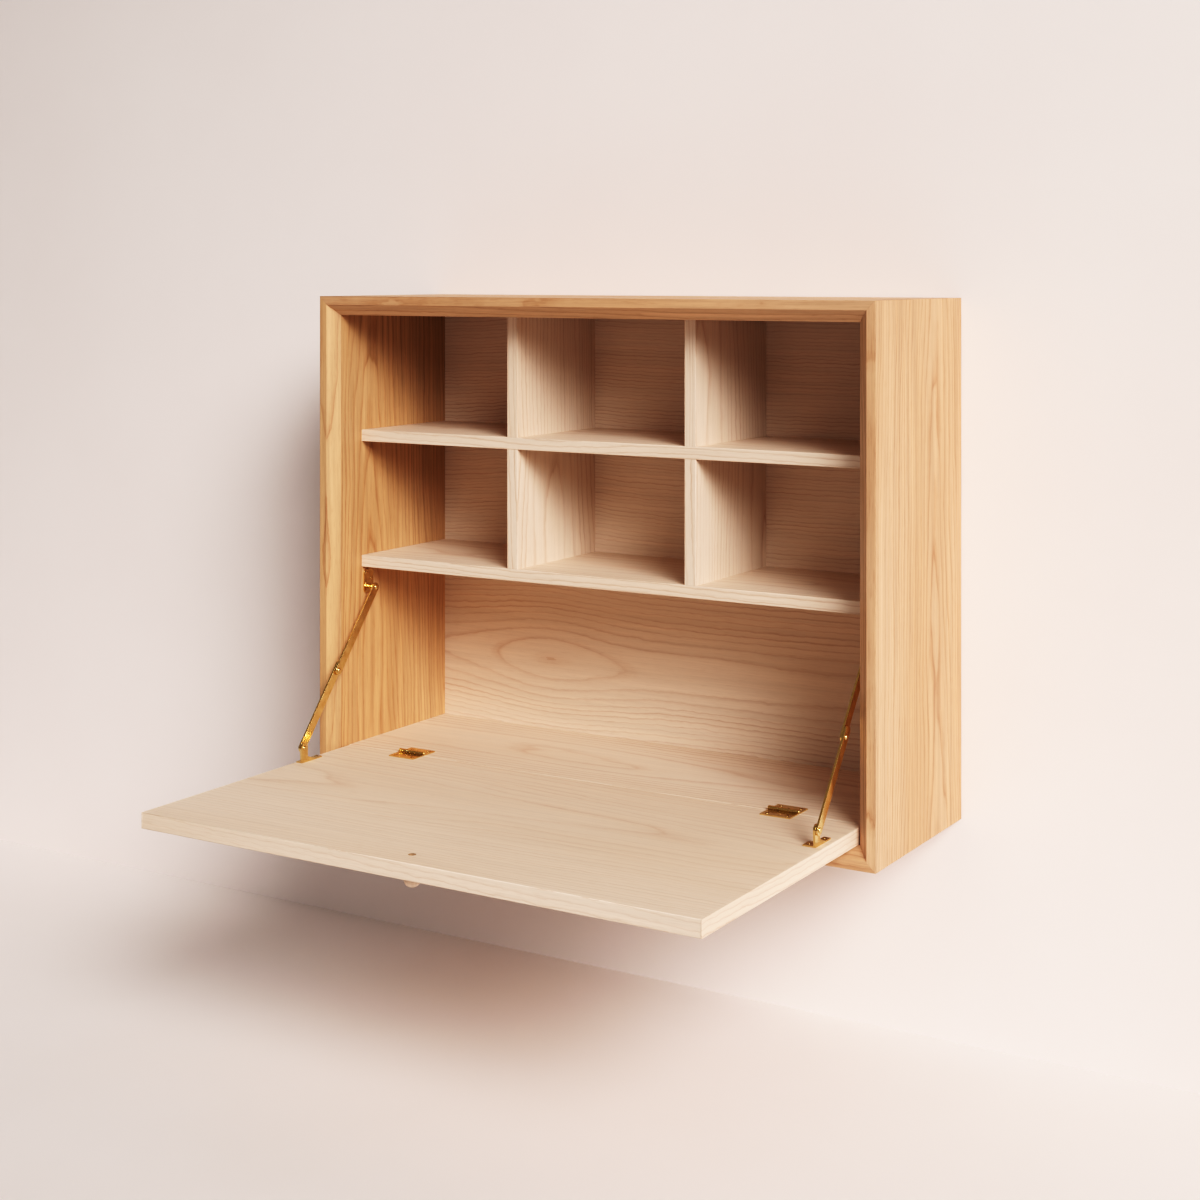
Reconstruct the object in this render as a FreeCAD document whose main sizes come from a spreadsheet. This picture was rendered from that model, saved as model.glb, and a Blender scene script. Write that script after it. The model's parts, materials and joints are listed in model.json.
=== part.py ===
import FreeCAD, Part
import os

import Sketcher
from FreeCAD import Placement, Rotation, Vector

# A wall-hung cabinet with six cubbies and a leaf that folds down into a desk.
# Millimetres. X runs to the viewer's right, Y into the wall, Z up.
# The origin lies on the wall, in the middle of the four wall screws.

doc = FreeCAD.newDocument("fold_down_wall_desk")

SIZES = {
    # Mitred case
    "cabinet_width": 920,
    "cabinet_height": 742,
    "cabinet_depth": 305,
    "case_thickness": 29,
    "rim_width": 13,
    "edge_ease": 0.8,
    "spline_thickness": 4,
    "spline_width": 20,
    "spline_front_gap": 40,
    "spline_rear_gap": 30,
    # Back panel and the hidden hanging strips behind it
    "back_thickness": 5,
    "back_recess": 12,
    "back_tongue": 6,
    "hanging_cleat_height": 40,
    "wall_cleat_height": 60,
    "wall_strip_end_gap": 10,
    "wall_hole_radius": 3,
    "wall_hole_spacing": 600,
    "wall_hole_drop": 22,
    "batten_margin": 20,
    "dowel_radius": 3,
    "dowel_length": 32,
    "dowel_inset": 10,
    "dowel_spacing": 16,
    "lock_screw_spacing": 400,
    "lock_screw_radius": 2,
    "lock_screw_head_radius": 4,
    "lock_screw_head_height": 3,
    "lock_screw_length": 55,
    # Shelves and dividers
    "shelf_thickness": 18,
    "shelf_setback": 67,
    "niche_height": 270,
    "lower_cubby_height": 177,
    "divider_thickness": 18,
    "divider_spacing": 300,
    "housing_depth": 6,
    "housing_stop": 12,
    # Desk leaf and knob
    "leaf_thickness": 22,
    "leaf_length": 450,
    "leaf_side_gap": 2.5,
    "edge_band": 2,
    "hinge_setback": 36,
    "hinge_line_gap": 1,
    "knob_inset": 33,
    "knob_radius": 11,
    "knob_head_height": 14.5,
    "knob_rounding": 2.5,
    "knob_dome": 9.8,
    "knob_neck_radius": 7,
    "knob_neck_height": 4,
    "counterbore_radius": 5.2,
    "counterbore_depth": 6,
    "knob_screw_radius": 2,
    "knob_screw_play": 0.3,
    "knob_screw_head_radius": 4.5,
    "knob_screw_head_height": 3,
    "knob_screw_grip": 12,
    # Brass surface hinges
    "hinge_inset": 120,
    "hinge_length": 45,
    "hinge_plate_reach": 28,
    "hinge_plate_thickness": 1.6,
    "knuckle_radius": 3,
    "knuckle_lift": 0.3,
    "knuckle_gap": 0.4,
    "pin_radius": 1.5,
    "pin_head_radius": 2.3,
    "pin_head_length": 1,
    "running_clearance": 0.08,
    "hinge_screw_pitch": 15,
    "hinge_screw_far": 21,
    "hinge_screw_near": 14,
    # Brass wood screws of the hinges and stays
    "screw_radius": 1.4,
    "screw_head_radius": 3,
    "screw_head_height": 1.5,
    "screw_length": 14,
    # Brass folding stays
    "stay_offset": 15,
    "arm_thickness": 3,
    "arm_width": 14,
    "arm_gap": 0.2,
    "upper_arm_length": 146,
    "lower_arm_overlap": 9,
    "rivet_radius": 2.5,
    "rivet_head_radius": 3.7,
    "rivet_crown_radius": 2.2,
    "rivet_head_height": 2.2,
    "rivet_grip": 8,
    "stud_radius": 4,
    "stud_setback": 84,
    "stud_drop": 33,
    "bracket_thickness": 2,
    "bracket_front": 13,
    "bracket_rear": 10,
    "bracket_above": 28,
    "bracket_below": 9,
    "bracket_corner": 6,
    "bracket_screw_front": 6.8,
    "bracket_screw_rear": 4.2,
    "bracket_screw_high": 22,
    "bracket_screw_middle": 13.5,
    "bracket_screw_low": 5,
    "ear_reach": 124.5,
    "ear_rise": 21.5,
    "ear_radius": 7.5,
    "ear_foot_length": 24,
    "ear_foot_height": 8,
    "base_front": 6,
    "wing_width": 18,
    "outer_wing_width": 11,
    "wing_length": 15,
    "wing_taper": 9,
    "tail_width": 10,
    "tail_length": 40,
    "wing_screw_inset": 13,
    "outer_wing_screw_inset": 7,
    "wing_screw_reach": 2,
    "tail_screw_near": 22,
    "tail_screw_far": 34,
    # How much of the wall beside it a rounding may take
    "rounding_wall_share": 0.9,
    # How far a cutting shape runs past the face it cuts
    "overrun": 1,
}

# Places that follow from the sizes
PLACES = {
    "half_width": "Size.cabinet_width / 2",
    "half_height": "Size.cabinet_height / 2",
    "inner_half_width": "half_width - Size.case_thickness",
    "inner_half_height": "half_height - Size.case_thickness",
    "front": "-Size.cabinet_depth",
    "bevel": "Size.case_thickness - Size.rim_width",
    "back_rear": "-Size.back_recess",
    "back_front": "back_rear - Size.back_thickness",
    "cleat_meet": "inner_half_height - Size.hanging_cleat_height",
    "wall_strip_half": "inner_half_width - Size.wall_strip_end_gap",
    "wall_row": "cleat_meet - Size.wall_hole_drop",
    "batten_top": "Size.batten_margin - wall_row",
    "strip_middle": "-Size.back_recess / 2",
    "floor_top": "Size.leaf_thickness - inner_half_height",
    "lower_shelf_base": "floor_top + Size.niche_height",
    "lower_shelf_top": "lower_shelf_base + Size.shelf_thickness",
    "middle_shelf_base": "lower_shelf_top + Size.lower_cubby_height",
    "middle_shelf_top": "middle_shelf_base + Size.shelf_thickness",
    "shelf_front": "front + Size.shelf_setback",
    "tongue_front": "shelf_front + Size.housing_stop",
    "hinge_line": "front + Size.hinge_setback",
    "hinge_x": "inner_half_width - Size.hinge_inset",
    "floor_front": "hinge_line + Size.hinge_line_gap / 2",
    "leaf_rear": "hinge_line - Size.hinge_line_gap / 2",
    "leaf_front": "hinge_line - Size.leaf_length",
    "leaf_base": "-inner_half_height",
    "leaf_half_width": "inner_half_width - Size.leaf_side_gap",
    "board_half_width": "leaf_half_width - Size.edge_band",
    "knob_y": "leaf_front + Size.knob_inset",
    "knob_shoulder": "Size.knob_radius - Size.knob_neck_radius",
    "knob_wall": "min(knob_shoulder; Size.knob_head_height / 2)",
    "knob_round": "min(Size.knob_rounding; Size.rounding_wall_share * knob_wall)",
    "knob_dome_wall": "min(Size.knob_radius; Size.knob_head_height - knob_round)",
    "knob_dome_round": "min(Size.knob_dome; Size.rounding_wall_share * knob_dome_wall)",
    "counterbore_floor": "floor_top - Size.counterbore_depth",
    "axis_z": "floor_top + Size.knuckle_radius + Size.knuckle_lift",
    "plate_top": "floor_top + Size.hinge_plate_thickness",
    "bore_radius": "Size.pin_radius + Size.running_clearance",
    "stud_y": "front + Size.stud_setback",
    "stud_z": "lower_shelf_base - Size.stud_drop",
    "ear_y": "hinge_line - Size.ear_reach",
    "ear_z": "floor_top + Size.ear_rise",
    "stay_run": "sqrt((ear_y - stud_y)^2 + (ear_z - stud_z)^2)",
    "stay_angle": "atan2(ear_z - stud_z; ear_y - stud_y)",
    "lower_arm_length": "stay_run - Size.upper_arm_length",
    "joint_y": "stud_y + (ear_y - stud_y) * Size.upper_arm_length / stay_run",
    "joint_z": "stud_z + (ear_z - stud_z) * Size.upper_arm_length / stay_run",
    "rivet_hole_radius": "Size.rivet_radius + Size.running_clearance",
    # Distances from the cabinet's middle plane, from the leaf bracket's ear out to the side panel
    "ear_inner": "inner_half_width - Size.stay_offset",
    "ear_outer": "ear_inner + Size.arm_thickness",
    "upper_arm_inner": "ear_outer - Size.arm_thickness",
    "upper_arm_outer": "ear_outer",
    "lower_arm_inner": "ear_outer + Size.arm_gap",
    "lower_arm_outer": "lower_arm_inner + Size.arm_thickness",
    "stud_inner": "upper_arm_outer + Size.arm_gap",
    "bracket_inner": "inner_half_width - Size.bracket_thickness",
    "base_top": "floor_top + Size.bracket_thickness",
}

SIDES = {"left": -1, "right": 1}
X_AXIS = Vector(1, 0, 0)
Y_AXIS = Vector(0, 1, 0)
SLENDER = {
    "X": Rotation(Y_AXIS, 90),
    "Y": Rotation(X_AXIS, -90),
    "Z": Rotation(),
}
nodes = {}


# Sheets and bindings

def fill_sheet(name, cells, prefix):
    """Make a sheet with one named cell for each entry."""
    sheet = doc.addObject("Spreadsheet::Sheet", name)
    for row, (alias, content) in enumerate(cells.items(), start=1):
        sheet.set(f"A{row}", alias)
        sheet.set(f"B{row}", f"{prefix}{content}")
        sheet.setAlias(f"B{row}", alias)
    doc.recompute()


def move(thing, x="0", y="0", z="0"):
    """Tie the thing's place to formulas."""
    for axis, formula in zip("xyz", (x, y, z)):
        thing.setExpression(f"Placement.Base.{axis}", formula)


def publish(node, thing):
    """Name a finished piece and keep it for export."""
    thing.Label = node
    nodes[node] = thing
    return thing


def sided(side, near, far):
    """Turn two distances from the middle plane into low and high X formulas."""
    if side > 0:
        return near, far
    return f"-({far})", f"-({near})"


# Primitives and booleans

def block(name, low, high):
    """A box between two corners."""
    solid = doc.addObject("Part::Box", name)
    for extent, start, end in zip(("Length", "Width", "Height"), low, high):
        solid.setExpression(extent, f"({end}) - ({start})")
    move(solid, *low)
    return solid


def rod(name, axis, start, length, radius):
    """A cylinder that runs along one axis from its start point."""
    solid = doc.addObject("Part::Cylinder", name)
    solid.Placement = Placement(Vector(), SLENDER[axis])
    solid.setExpression("Radius", radius)
    solid.setExpression("Height", length)
    move(solid, *start)
    return solid


def taper(name, axis, start, length, start_radius, end_radius):
    """A cone frustum that runs along one axis from its start point."""
    solid = doc.addObject("Part::Cone", name)
    solid.Placement = Placement(Vector(), SLENDER[axis])
    solid.setExpression("Radius1", start_radius)
    solid.setExpression("Radius2", end_radius)
    solid.setExpression("Height", length)
    move(solid, *start)
    return solid


def fuse(name, shapes):
    """Join shapes into one solid."""
    joined = doc.addObject("Part::MultiFuse", name)
    joined.Shapes = shapes
    return joined


def group(name, shapes):
    """Keep separate solids together as one piece list entry."""
    bundle = doc.addObject("Part::Compound", name)
    bundle.Links = shapes
    return bundle


def carve(name, base, tools):
    """Cut each tool out of the base in turn."""
    for number, tool in enumerate(tools, start=1):
        result = doc.addObject("Part::Cut", f"{name}_cut_{number}")
        result.Base = base
        result.Tool = tool
        base = result
    return base


# Sketched bodies

def sketch_on(body, name, role):
    """A sketch on one of the body's own origin planes."""
    plane = next(item for item in body.Origin.OriginFeatures if item.Role == role)
    sketch = body.newObject("Sketcher::SketchObject", name)
    sketch.AttachmentSupport = [(plane, "")]
    sketch.MapMode = "FlatFace"
    return sketch


def draw_loop(sketch, corners):
    """A closed outline whose corners are tied to formulas."""
    first = sketch.GeometryCount
    spots = [Vector(sketch.evalExpression(x), sketch.evalExpression(y), 0) for x, y in corners]
    for spot, following in zip(spots, spots[1:] + spots[:1]):
        sketch.addGeometry(Part.LineSegment(spot, following))
    for index in range(len(corners)):
        following = first + (index + 1) % len(corners)
        sketch.addConstraint(Sketcher.Constraint("Coincident", first + index, 2, following, 1))
    for index, (spot, formulas) in enumerate(zip(spots, corners)):
        for kind, value, formula in zip(("DistanceX", "DistanceY"), (spot.x, spot.y), formulas):
            number = sketch.addConstraint(Sketcher.Constraint(kind, first + index, 1, value))
            sketch.setExpression(f"Constraints[{number}]", formula)


def draw_circle(sketch, radius):
    """A circle about the sketch's origin."""
    circle = Part.Circle(Vector(), Vector(0, 0, 1), sketch.evalExpression(radius))
    index = sketch.addGeometry(circle)
    sketch.addConstraint(Sketcher.Constraint("Coincident", index, 3, -1, 1))
    number = sketch.addConstraint(Sketcher.Constraint("Radius", index, circle.Radius))
    sketch.setExpression(f"Constraints[{number}]", radius)


def pad(body, sketch, length, symmetric=False, down=False):
    """Extrude a sketch."""
    feature = body.newObject("PartDesign::Pad", f"{sketch.Name}_pad")
    feature.Profile = sketch
    feature.setExpression("Length", length)
    feature.SideType = "Symmetric" if symmetric else "One side"
    feature.Reversed = down
    doc.recompute()
    return feature


def prism(name, role, corners, length, symmetric=False):
    """A body with one outline extruded square to its plane."""
    body = doc.addObject("PartDesign::Body", name)
    sketch = sketch_on(body, f"{name}_outline", role)
    draw_loop(sketch, corners)
    pad(body, sketch, length, symmetric)
    return body


def cut_through(body, name, role, loops):
    """Cut outlines right through the body, and confirm that they took material away."""
    before = body.Shape.Volume
    sketch = sketch_on(body, name, role)
    for corners in loops:
        draw_loop(sketch, corners)
    pocket = body.newObject("PartDesign::Pocket", f"{name}_pocket")
    pocket.Profile = sketch
    pocket.Type = "ThroughAll"
    pocket.SideType = "Symmetric"
    doc.recompute()
    if not body.Shape.Volume < before:
        raise RuntimeError(f"{name} cuts nothing")


def ease(body, radius, chosen):
    """Round the edges of the body's last feature that the test chooses."""
    base = body.Tip
    names = [f"Edge{index}" for index, edge in enumerate(base.Shape.Edges, start=1) if chosen(edge)]
    rounding = body.newObject("PartDesign::Fillet", f"{body.Name}_easing")
    rounding.Base = (base, names)
    rounding.setExpression("Radius", radius)
    doc.recompute()


def along(edge, axis):
    """Whether a straight edge runs along the axis."""
    if not isinstance(edge.Curve, Part.Line):
        return False
    return abs(edge.Curve.Direction.dot(axis)) > 1 - edge.Tolerance


def has_radius(edge, radius):
    """Whether an edge is round with the given radius."""
    if not isinstance(edge.Curve, Part.Circle):
        return False
    return abs(edge.Curve.Radius - radius) < 2 * edge.Tolerance


def at_height(edge, z):
    """Whether an edge lies level at the given height."""
    box = edge.BoundBox
    return max(abs(box.ZMin - z), abs(box.ZMax - z)) < 2 * edge.Tolerance


def on_front(edge, front_y):
    """Whether an edge lies in the plane of a piece's front face."""
    box = edge.BoundBox
    return max(abs(box.YMin - front_y), abs(box.YMax - front_y)) < 2 * edge.Tolerance


# Case

def case_panel(name, half_length, half_span, turn, tools):
    """One panel of the case, drawn as the bottom panel and turned about Y into place."""
    outer = f"-{half_span}"
    inner = f"Size.case_thickness - {half_span}"
    profile = [
        ("0", outer),
        ("Place.front + Size.edge_ease", outer),
        ("Place.front", f"{outer} + Size.edge_ease"),
        ("Place.front", f"Size.rim_width - {half_span}"),
        ("Place.front + Place.bevel", inner),
        ("0", inner),
    ]
    body = prism(f"{name}_body", "YZ_Plane", profile, f"2 * {half_length}", symmetric=True)
    below = f"{outer} - Size.overrun"
    above = f"{inner} + Size.overrun"
    right_end = [
        (f"{half_length} + Size.overrun", below),
        (f"{half_length} + Size.overrun", above),
        (f"{half_length} - Size.case_thickness - Size.overrun", above),
    ]
    left_end = [(f"-({x})", z) for x, z in right_end]
    cut_through(body, f"{name}_mitres", "XZ_Plane", [right_end, left_end])
    body.Placement = Placement(Vector(), Rotation(Y_AXIS, turn))
    return publish(name, carve(name, body, tools))


def corner_splines():
    """Four loose tongues that cross the mitres."""
    strips = []
    half_width = "Size.spline_width / 2"
    half_thickness = "Size.spline_thickness / 2"
    section = [
        (f"-{half_width}", f"-{half_thickness}"),
        (half_width, f"-{half_thickness}"),
        (half_width, half_thickness),
        (f"-{half_width}", half_thickness),
    ]
    length = "Size.cabinet_depth - Size.spline_front_gap - Size.spline_rear_gap"
    for across in (-1, 1):
        for up in (-1, 1):
            strip = prism(f"spline_{len(strips) + 1}", "XZ_Plane", section, length)
            strip.Placement = Placement(Vector(), Rotation(Y_AXIS, across * up * 45))
            move(
                strip,
                f"{across} * (Place.half_width - Size.case_thickness / 2)",
                "-Size.spline_rear_gap",
                f"{up} * (Place.half_height - Size.case_thickness / 2)",
            )
            strips.append(strip)
    return publish("corner_splines", group("spline_set", strips))


def back_panel():
    """Thin panel in grooves of the case."""
    half_width = "Place.inner_half_width + Size.back_tongue"
    half_height = "Place.inner_half_height + Size.back_tongue"
    low = (f"-({half_width})", "Place.back_front", f"-({half_height})")
    high = (half_width, "Place.back_rear", half_height)
    return publish("back_panel", block("back_board", low, high))


# Shelves, dividers and floor

def divider(name, across, base, top):
    """An upright between two boards, with stopped tongues housed in both."""
    outline = [
        ("Place.shelf_front", base),
        ("Place.tongue_front", base),
        ("Place.tongue_front", f"{base} - Size.housing_depth"),
        ("Place.back_front", f"{base} - Size.housing_depth"),
        ("Place.back_front", f"{top} + Size.housing_depth"),
        ("Place.tongue_front", f"{top} + Size.housing_depth"),
        ("Place.tongue_front", top),
        ("Place.shelf_front", top),
    ]
    body = prism(f"{name}_body", "YZ_Plane", outline, "Size.divider_thickness", symmetric=True)
    front_y = body.Shape.BoundBox.YMin
    ease(body, "Size.edge_ease", lambda edge: on_front(edge, front_y) and along(edge, Vector(0, 0, 1)))
    move(body, f"{across} * Size.divider_spacing / 2")
    return publish(name, body)


def shelf(name, base, dividers):
    """A full-width shelf with stopped tongues housed in the side panels."""
    inner = "Place.inner_half_width"
    tip = "Place.inner_half_width + Size.housing_depth"
    right = [
        (inner, "Place.shelf_front"),
        (inner, "Place.tongue_front"),
        (tip, "Place.tongue_front"),
        (tip, "Place.back_front"),
    ]
    left = [(f"-({x})", y) for x, y in reversed(right)]
    body = prism(f"{name}_body", "XY_Plane", right + left, "Size.shelf_thickness")
    front_y = body.Shape.BoundBox.YMin
    ease(body, "Size.edge_ease", lambda edge: on_front(edge, front_y) and along(edge, X_AXIS))
    move(body, z=base)
    return publish(name, carve(name, body, dividers))


def floor_board(tools):
    """Fixed part of the desk surface, level with the open leaf."""
    profile = [
        ("Place.floor_front", "Place.leaf_base"),
        ("Place.floor_front", "Place.floor_top - Size.edge_ease"),
        ("Place.floor_front + Size.edge_ease", "Place.floor_top"),
        ("Place.back_front", "Place.floor_top"),
        ("Place.back_front", "Place.leaf_base"),
    ]
    body = prism("floor_body", "YZ_Plane", profile, "2 * Place.inner_half_width", symmetric=True)
    return publish("floor_board", carve("floor_board", body, tools))


# Hanging strips behind the back panel

def hanging_cleat(dowels):
    """Strip under the top panel whose sloping edge hooks behind the wall cleat."""
    profile = [
        ("0", "Place.cleat_meet"),
        ("0", "Place.inner_half_height"),
        ("Place.back_rear", "Place.inner_half_height"),
        ("Place.back_rear", "Place.cleat_meet + Size.back_recess"),
    ]
    body = prism("hanging_cleat_body", "YZ_Plane", profile, "2 * Place.inner_half_width", symmetric=True)
    return publish("hanging_cleat", carve("hanging_cleat", body, [dowels]))


def wall_holes(name, row):
    """Two clearance holes for wall screws, as cutting shapes."""
    length = "Size.back_recess + 2 * Size.overrun"
    start_y = "Place.back_rear - Size.overrun"
    return [
        rod(f"{name}_hole_{word}", "Y", (f"{side} * Size.wall_hole_spacing / 2", start_y, row), length,
            "Size.wall_hole_radius")
        for word, side in SIDES.items()
    ]


def wall_cleat():
    """Strip on the wall that carries the hanging cleat."""
    base = "Place.cleat_meet - Size.wall_cleat_height"
    profile = [
        ("0", base),
        ("0", "Place.cleat_meet"),
        ("Place.back_rear", "Place.cleat_meet + Size.back_recess"),
        ("Place.back_rear", base),
    ]
    body = prism("wall_cleat_body", "YZ_Plane", profile, "2 * Place.wall_strip_half", symmetric=True)
    return publish("wall_cleat", carve("wall_cleat", body, wall_holes("wall_cleat", "Place.wall_row")))


def wall_batten(lock_screws):
    """Strip on the wall behind the desk niche, which the bottom panel is locked to."""
    low = ("-Place.wall_strip_half", "Place.back_rear", "Place.leaf_base")
    high = ("Place.wall_strip_half", "0", "Place.batten_top")
    board = block("wall_batten_board", low, high)
    tools = wall_holes("wall_batten", "-Place.wall_row") + [lock_screws]
    return publish("wall_batten", carve("wall_batten", board, tools))


def cleat_dowels():
    """Two dowels at each end of the hanging cleat."""
    pins = []
    for word, side in SIDES.items():
        start_x = f"{side} * Place.inner_half_width - Size.dowel_length / 2"
        for number in range(2):
            height = f"Place.inner_half_height - Size.dowel_inset - {number} * Size.dowel_spacing"
            start = (start_x, "Place.strip_middle", height)
            name = f"dowel_{word}_{number + 1}"
            pins.append(rod(name, "X", start, "Size.dowel_length", "Size.dowel_radius"))
    return publish("cleat_dowels", group("dowel_set", pins))


# Screws and rivets

def screw(name, head, turn, kind="screw"):
    """A countersunk screw, head up before it is turned about Y."""
    head_height = f"Size.{kind}_head_height"
    length = f"Size.{kind}_length"
    radius = f"Size.{kind}_radius"
    tip = ("0", "0", f"-{length}")
    shank = rod(f"{name}_shank", "Z", tip, f"{length} - {head_height}", radius)
    under_head = ("0", "0", f"-{head_height}")
    cone = taper(f"{name}_head", "Z", under_head, head_height, radius, f"Size.{kind}_head_radius")
    whole = fuse(name, [shank, cone])
    whole.Placement = Placement(Vector(), Rotation(Y_AXIS, turn))
    move(whole, *head)
    return whole


def lock_screws():
    """Screws up through the bottom panel into the wall batten."""
    screws = [
        screw(f"lock_screw_{word}", (f"{side} * Size.lock_screw_spacing / 2", "Place.strip_middle",
                                     "-Place.half_height"), 180, "lock_screw")
        for word, side in SIDES.items()
    ]
    return publish("lock_screws", group("lock_screw_set", screws))


def rivet_head(name, side, face, outboard, spot):
    """A low crowned head that bears on a face square to X."""
    height = "Size.rivet_head_height"
    near = face if outboard else f"{face} - {height}"
    low, _ = sided(side, near, f"{near} + {height}")
    radii = ("Size.rivet_head_radius", "Size.rivet_crown_radius")
    if (side > 0) != outboard:
        radii = radii[::-1]
    return taper(name, "X", (low, *spot), height, *radii)


def rivet(name, side, span, heads, spot):
    """A rivet between two distances from the middle plane, with a head at each named end."""
    inner, outer = span
    low, _ = sided(side, inner, outer)
    parts = [rod(f"{name}_shank", "X", (low, *spot), f"{outer} - ({inner})", "Size.rivet_radius")]
    if "inner" in heads:
        parts.append(rivet_head(f"{name}_inner_head", side, inner, False, spot))
    if "outer" in heads:
        parts.append(rivet_head(f"{name}_outer_head", side, outer, True, spot))
    return publish(name, fuse(f"{name}_solid", parts))


# Desk leaf and knob

def leaf_profile():
    """Section of the leaf with eased front edges."""
    return [
        ("Place.leaf_front", "Place.leaf_base + Size.edge_ease"),
        ("Place.leaf_front", "Place.floor_top - Size.edge_ease"),
        ("Place.leaf_front + Size.edge_ease", "Place.floor_top"),
        ("Place.leaf_rear", "Place.floor_top"),
        ("Place.leaf_rear", "Place.leaf_base"),
        ("Place.leaf_front + Size.edge_ease", "Place.leaf_base"),
    ]


def desk_leaf(screws):
    """Board of the leaf, bored for the knob's screw."""
    body = prism("leaf_body", "YZ_Plane", leaf_profile(), "2 * Place.board_half_width", symmetric=True)
    counterbore = rod("counterbore", "Z", ("0", "Place.knob_y", "Place.counterbore_floor"),
                      "Size.counterbore_depth + Size.overrun", "Size.counterbore_radius")
    hole = rod("knob_screw_hole", "Z", ("0", "Place.knob_y", "Place.leaf_base - Size.overrun"),
               "Size.leaf_thickness", "Size.knob_screw_radius + Size.knob_screw_play")
    return publish("desk_leaf", carve("desk_leaf", body, screws + [counterbore, hole]))


def edge_bands():
    """Long-grain bands on both ends of the leaf."""
    for word, side in SIDES.items():
        body = prism(f"{word}_band_body", "YZ_Plane", leaf_profile(), "Size.edge_band")
        low, _ = sided(side, "Place.board_half_width", "Place.leaf_half_width")
        move(body, low)
        publish(f"{word}_edge_band", body)


def knob_screw():
    """Pan-headed screw from the leaf's counterbore down into the knob."""
    spot = ("0", "Place.knob_y", "Place.counterbore_floor")
    head = rod("knob_screw_head", "Z", spot, "Size.knob_screw_head_height", "Size.knob_screw_head_radius")
    tip = ("0", "Place.knob_y", "Place.leaf_base - Size.knob_screw_grip")
    length = "Size.knob_screw_grip + Size.leaf_thickness - Size.counterbore_depth"
    shank = rod("knob_screw_shank", "Z", tip, length, "Size.knob_screw_radius")
    return publish("knob_screw", fuse("knob_screw_solid", [head, shank]))


def knob(screw_in_knob):
    """Turned wooden pull with a narrow neck and a domed end."""
    body = doc.addObject("PartDesign::Body", "knob_body")
    neck = sketch_on(body, "knob_neck", "XY_Plane")
    draw_circle(neck, "Size.knob_neck_radius")
    pad(body, neck, "Size.knob_neck_height + Size.knob_head_height / 2", down=True)
    head = sketch_on(body, "knob_head", "XY_Plane")
    head.setExpression("AttachmentOffset.Base.z", "-Size.knob_neck_height")
    draw_circle(head, "Size.knob_radius")
    pad(body, head, "Size.knob_head_height", down=True)
    rim = body.Shape.BoundBox.XMax
    foot = body.Shape.BoundBox.ZMin
    ease(body, "Place.knob_round", lambda edge: has_radius(edge, rim) and not at_height(edge, foot))
    ease(body, "Place.knob_dome_round", lambda edge: has_radius(edge, rim) and at_height(edge, foot))
    move(body, "0", "Place.knob_y", "Place.leaf_base")
    return publish("knob", carve("knob", body, [screw_in_knob]))


# Hinges

def hinge_screws(name, toward):
    """Three screws in each of the two plates on one side of the hinge line."""
    screws = []
    for side in SIDES.values():
        for step, reach in ((-1, "far"), (0, "near"), (1, "far")):
            spot = (
                f"{side} * Place.hinge_x + {step} * Size.hinge_screw_pitch",
                f"Place.hinge_line + {toward} * Size.hinge_screw_{reach}",
                "Place.plate_top",
            )
            screws.append(screw(f"{name}_{len(screws) + 1}", spot, 0))
    return publish(name, group(f"{name}_set", screws))


def hinge_plate(name, middle, toward, spans, screws):
    """A plate with its knuckles. The plate lies toward the wall (1) or toward the room (-1)."""
    half = "Size.hinge_length / 2"
    clear = "Size.knuckle_radius + Size.knuckle_lift"
    inner, outer = sorted_y(toward, clear, "Size.hinge_plate_reach")
    parts = [block(f"{name}_flat", (f"{middle} - {half}", inner, "Place.floor_top"),
                   (f"{middle} + {half}", outer, "Place.plate_top"))]
    for number, (start, end) in enumerate(spans, start=1):
        low, high = f"{middle} + {start}", f"{middle} + {end}"
        tab_inner, tab_outer = sorted_y(toward, "0", clear)
        parts.append(block(f"{name}_tab_{number}", (low, tab_inner, "Place.floor_top"),
                           (high, tab_outer, "Place.plate_top")))
        parts.append(rod(f"{name}_knuckle_{number}", "X", (low, "Place.hinge_line", "Place.axis_z"),
                         f"({end}) - ({start})", "Size.knuckle_radius"))
    bore_start = (f"{middle} - {half} - Size.overrun", "Place.hinge_line", "Place.axis_z")
    bore = rod(f"{name}_bore", "X", bore_start, "Size.hinge_length + 2 * Size.overrun", "Place.bore_radius")
    return publish(name, carve(name, fuse(f"{name}_solid", parts), [bore, screws]))


def sorted_y(toward, near, far):
    """Low and high Y of a strip at two distances from the hinge line."""
    if toward > 0:
        return f"Place.hinge_line + {near}", f"Place.hinge_line + {far}"
    return f"Place.hinge_line - ({far})", f"Place.hinge_line - ({near})"


def hinge_pin(name, middle):
    """Pin with a button on each end."""
    left_end = f"{middle} - Size.hinge_length / 2"
    right_end = f"{middle} + Size.hinge_length / 2"
    shank = rod(f"{name}_shank", "X", (left_end, "Place.hinge_line", "Place.axis_z"),
                "Size.hinge_length", "Size.pin_radius")
    buttons = [
        rod(f"{name}_{word}_button", "X", (start, "Place.hinge_line", "Place.axis_z"),
            "Size.pin_head_length", "Size.pin_head_radius")
        for word, start in (("left", f"{left_end} - Size.pin_head_length"), ("right", right_end))
    ]
    return publish(name, fuse(f"{name}_solid", [shank] + buttons))


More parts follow.
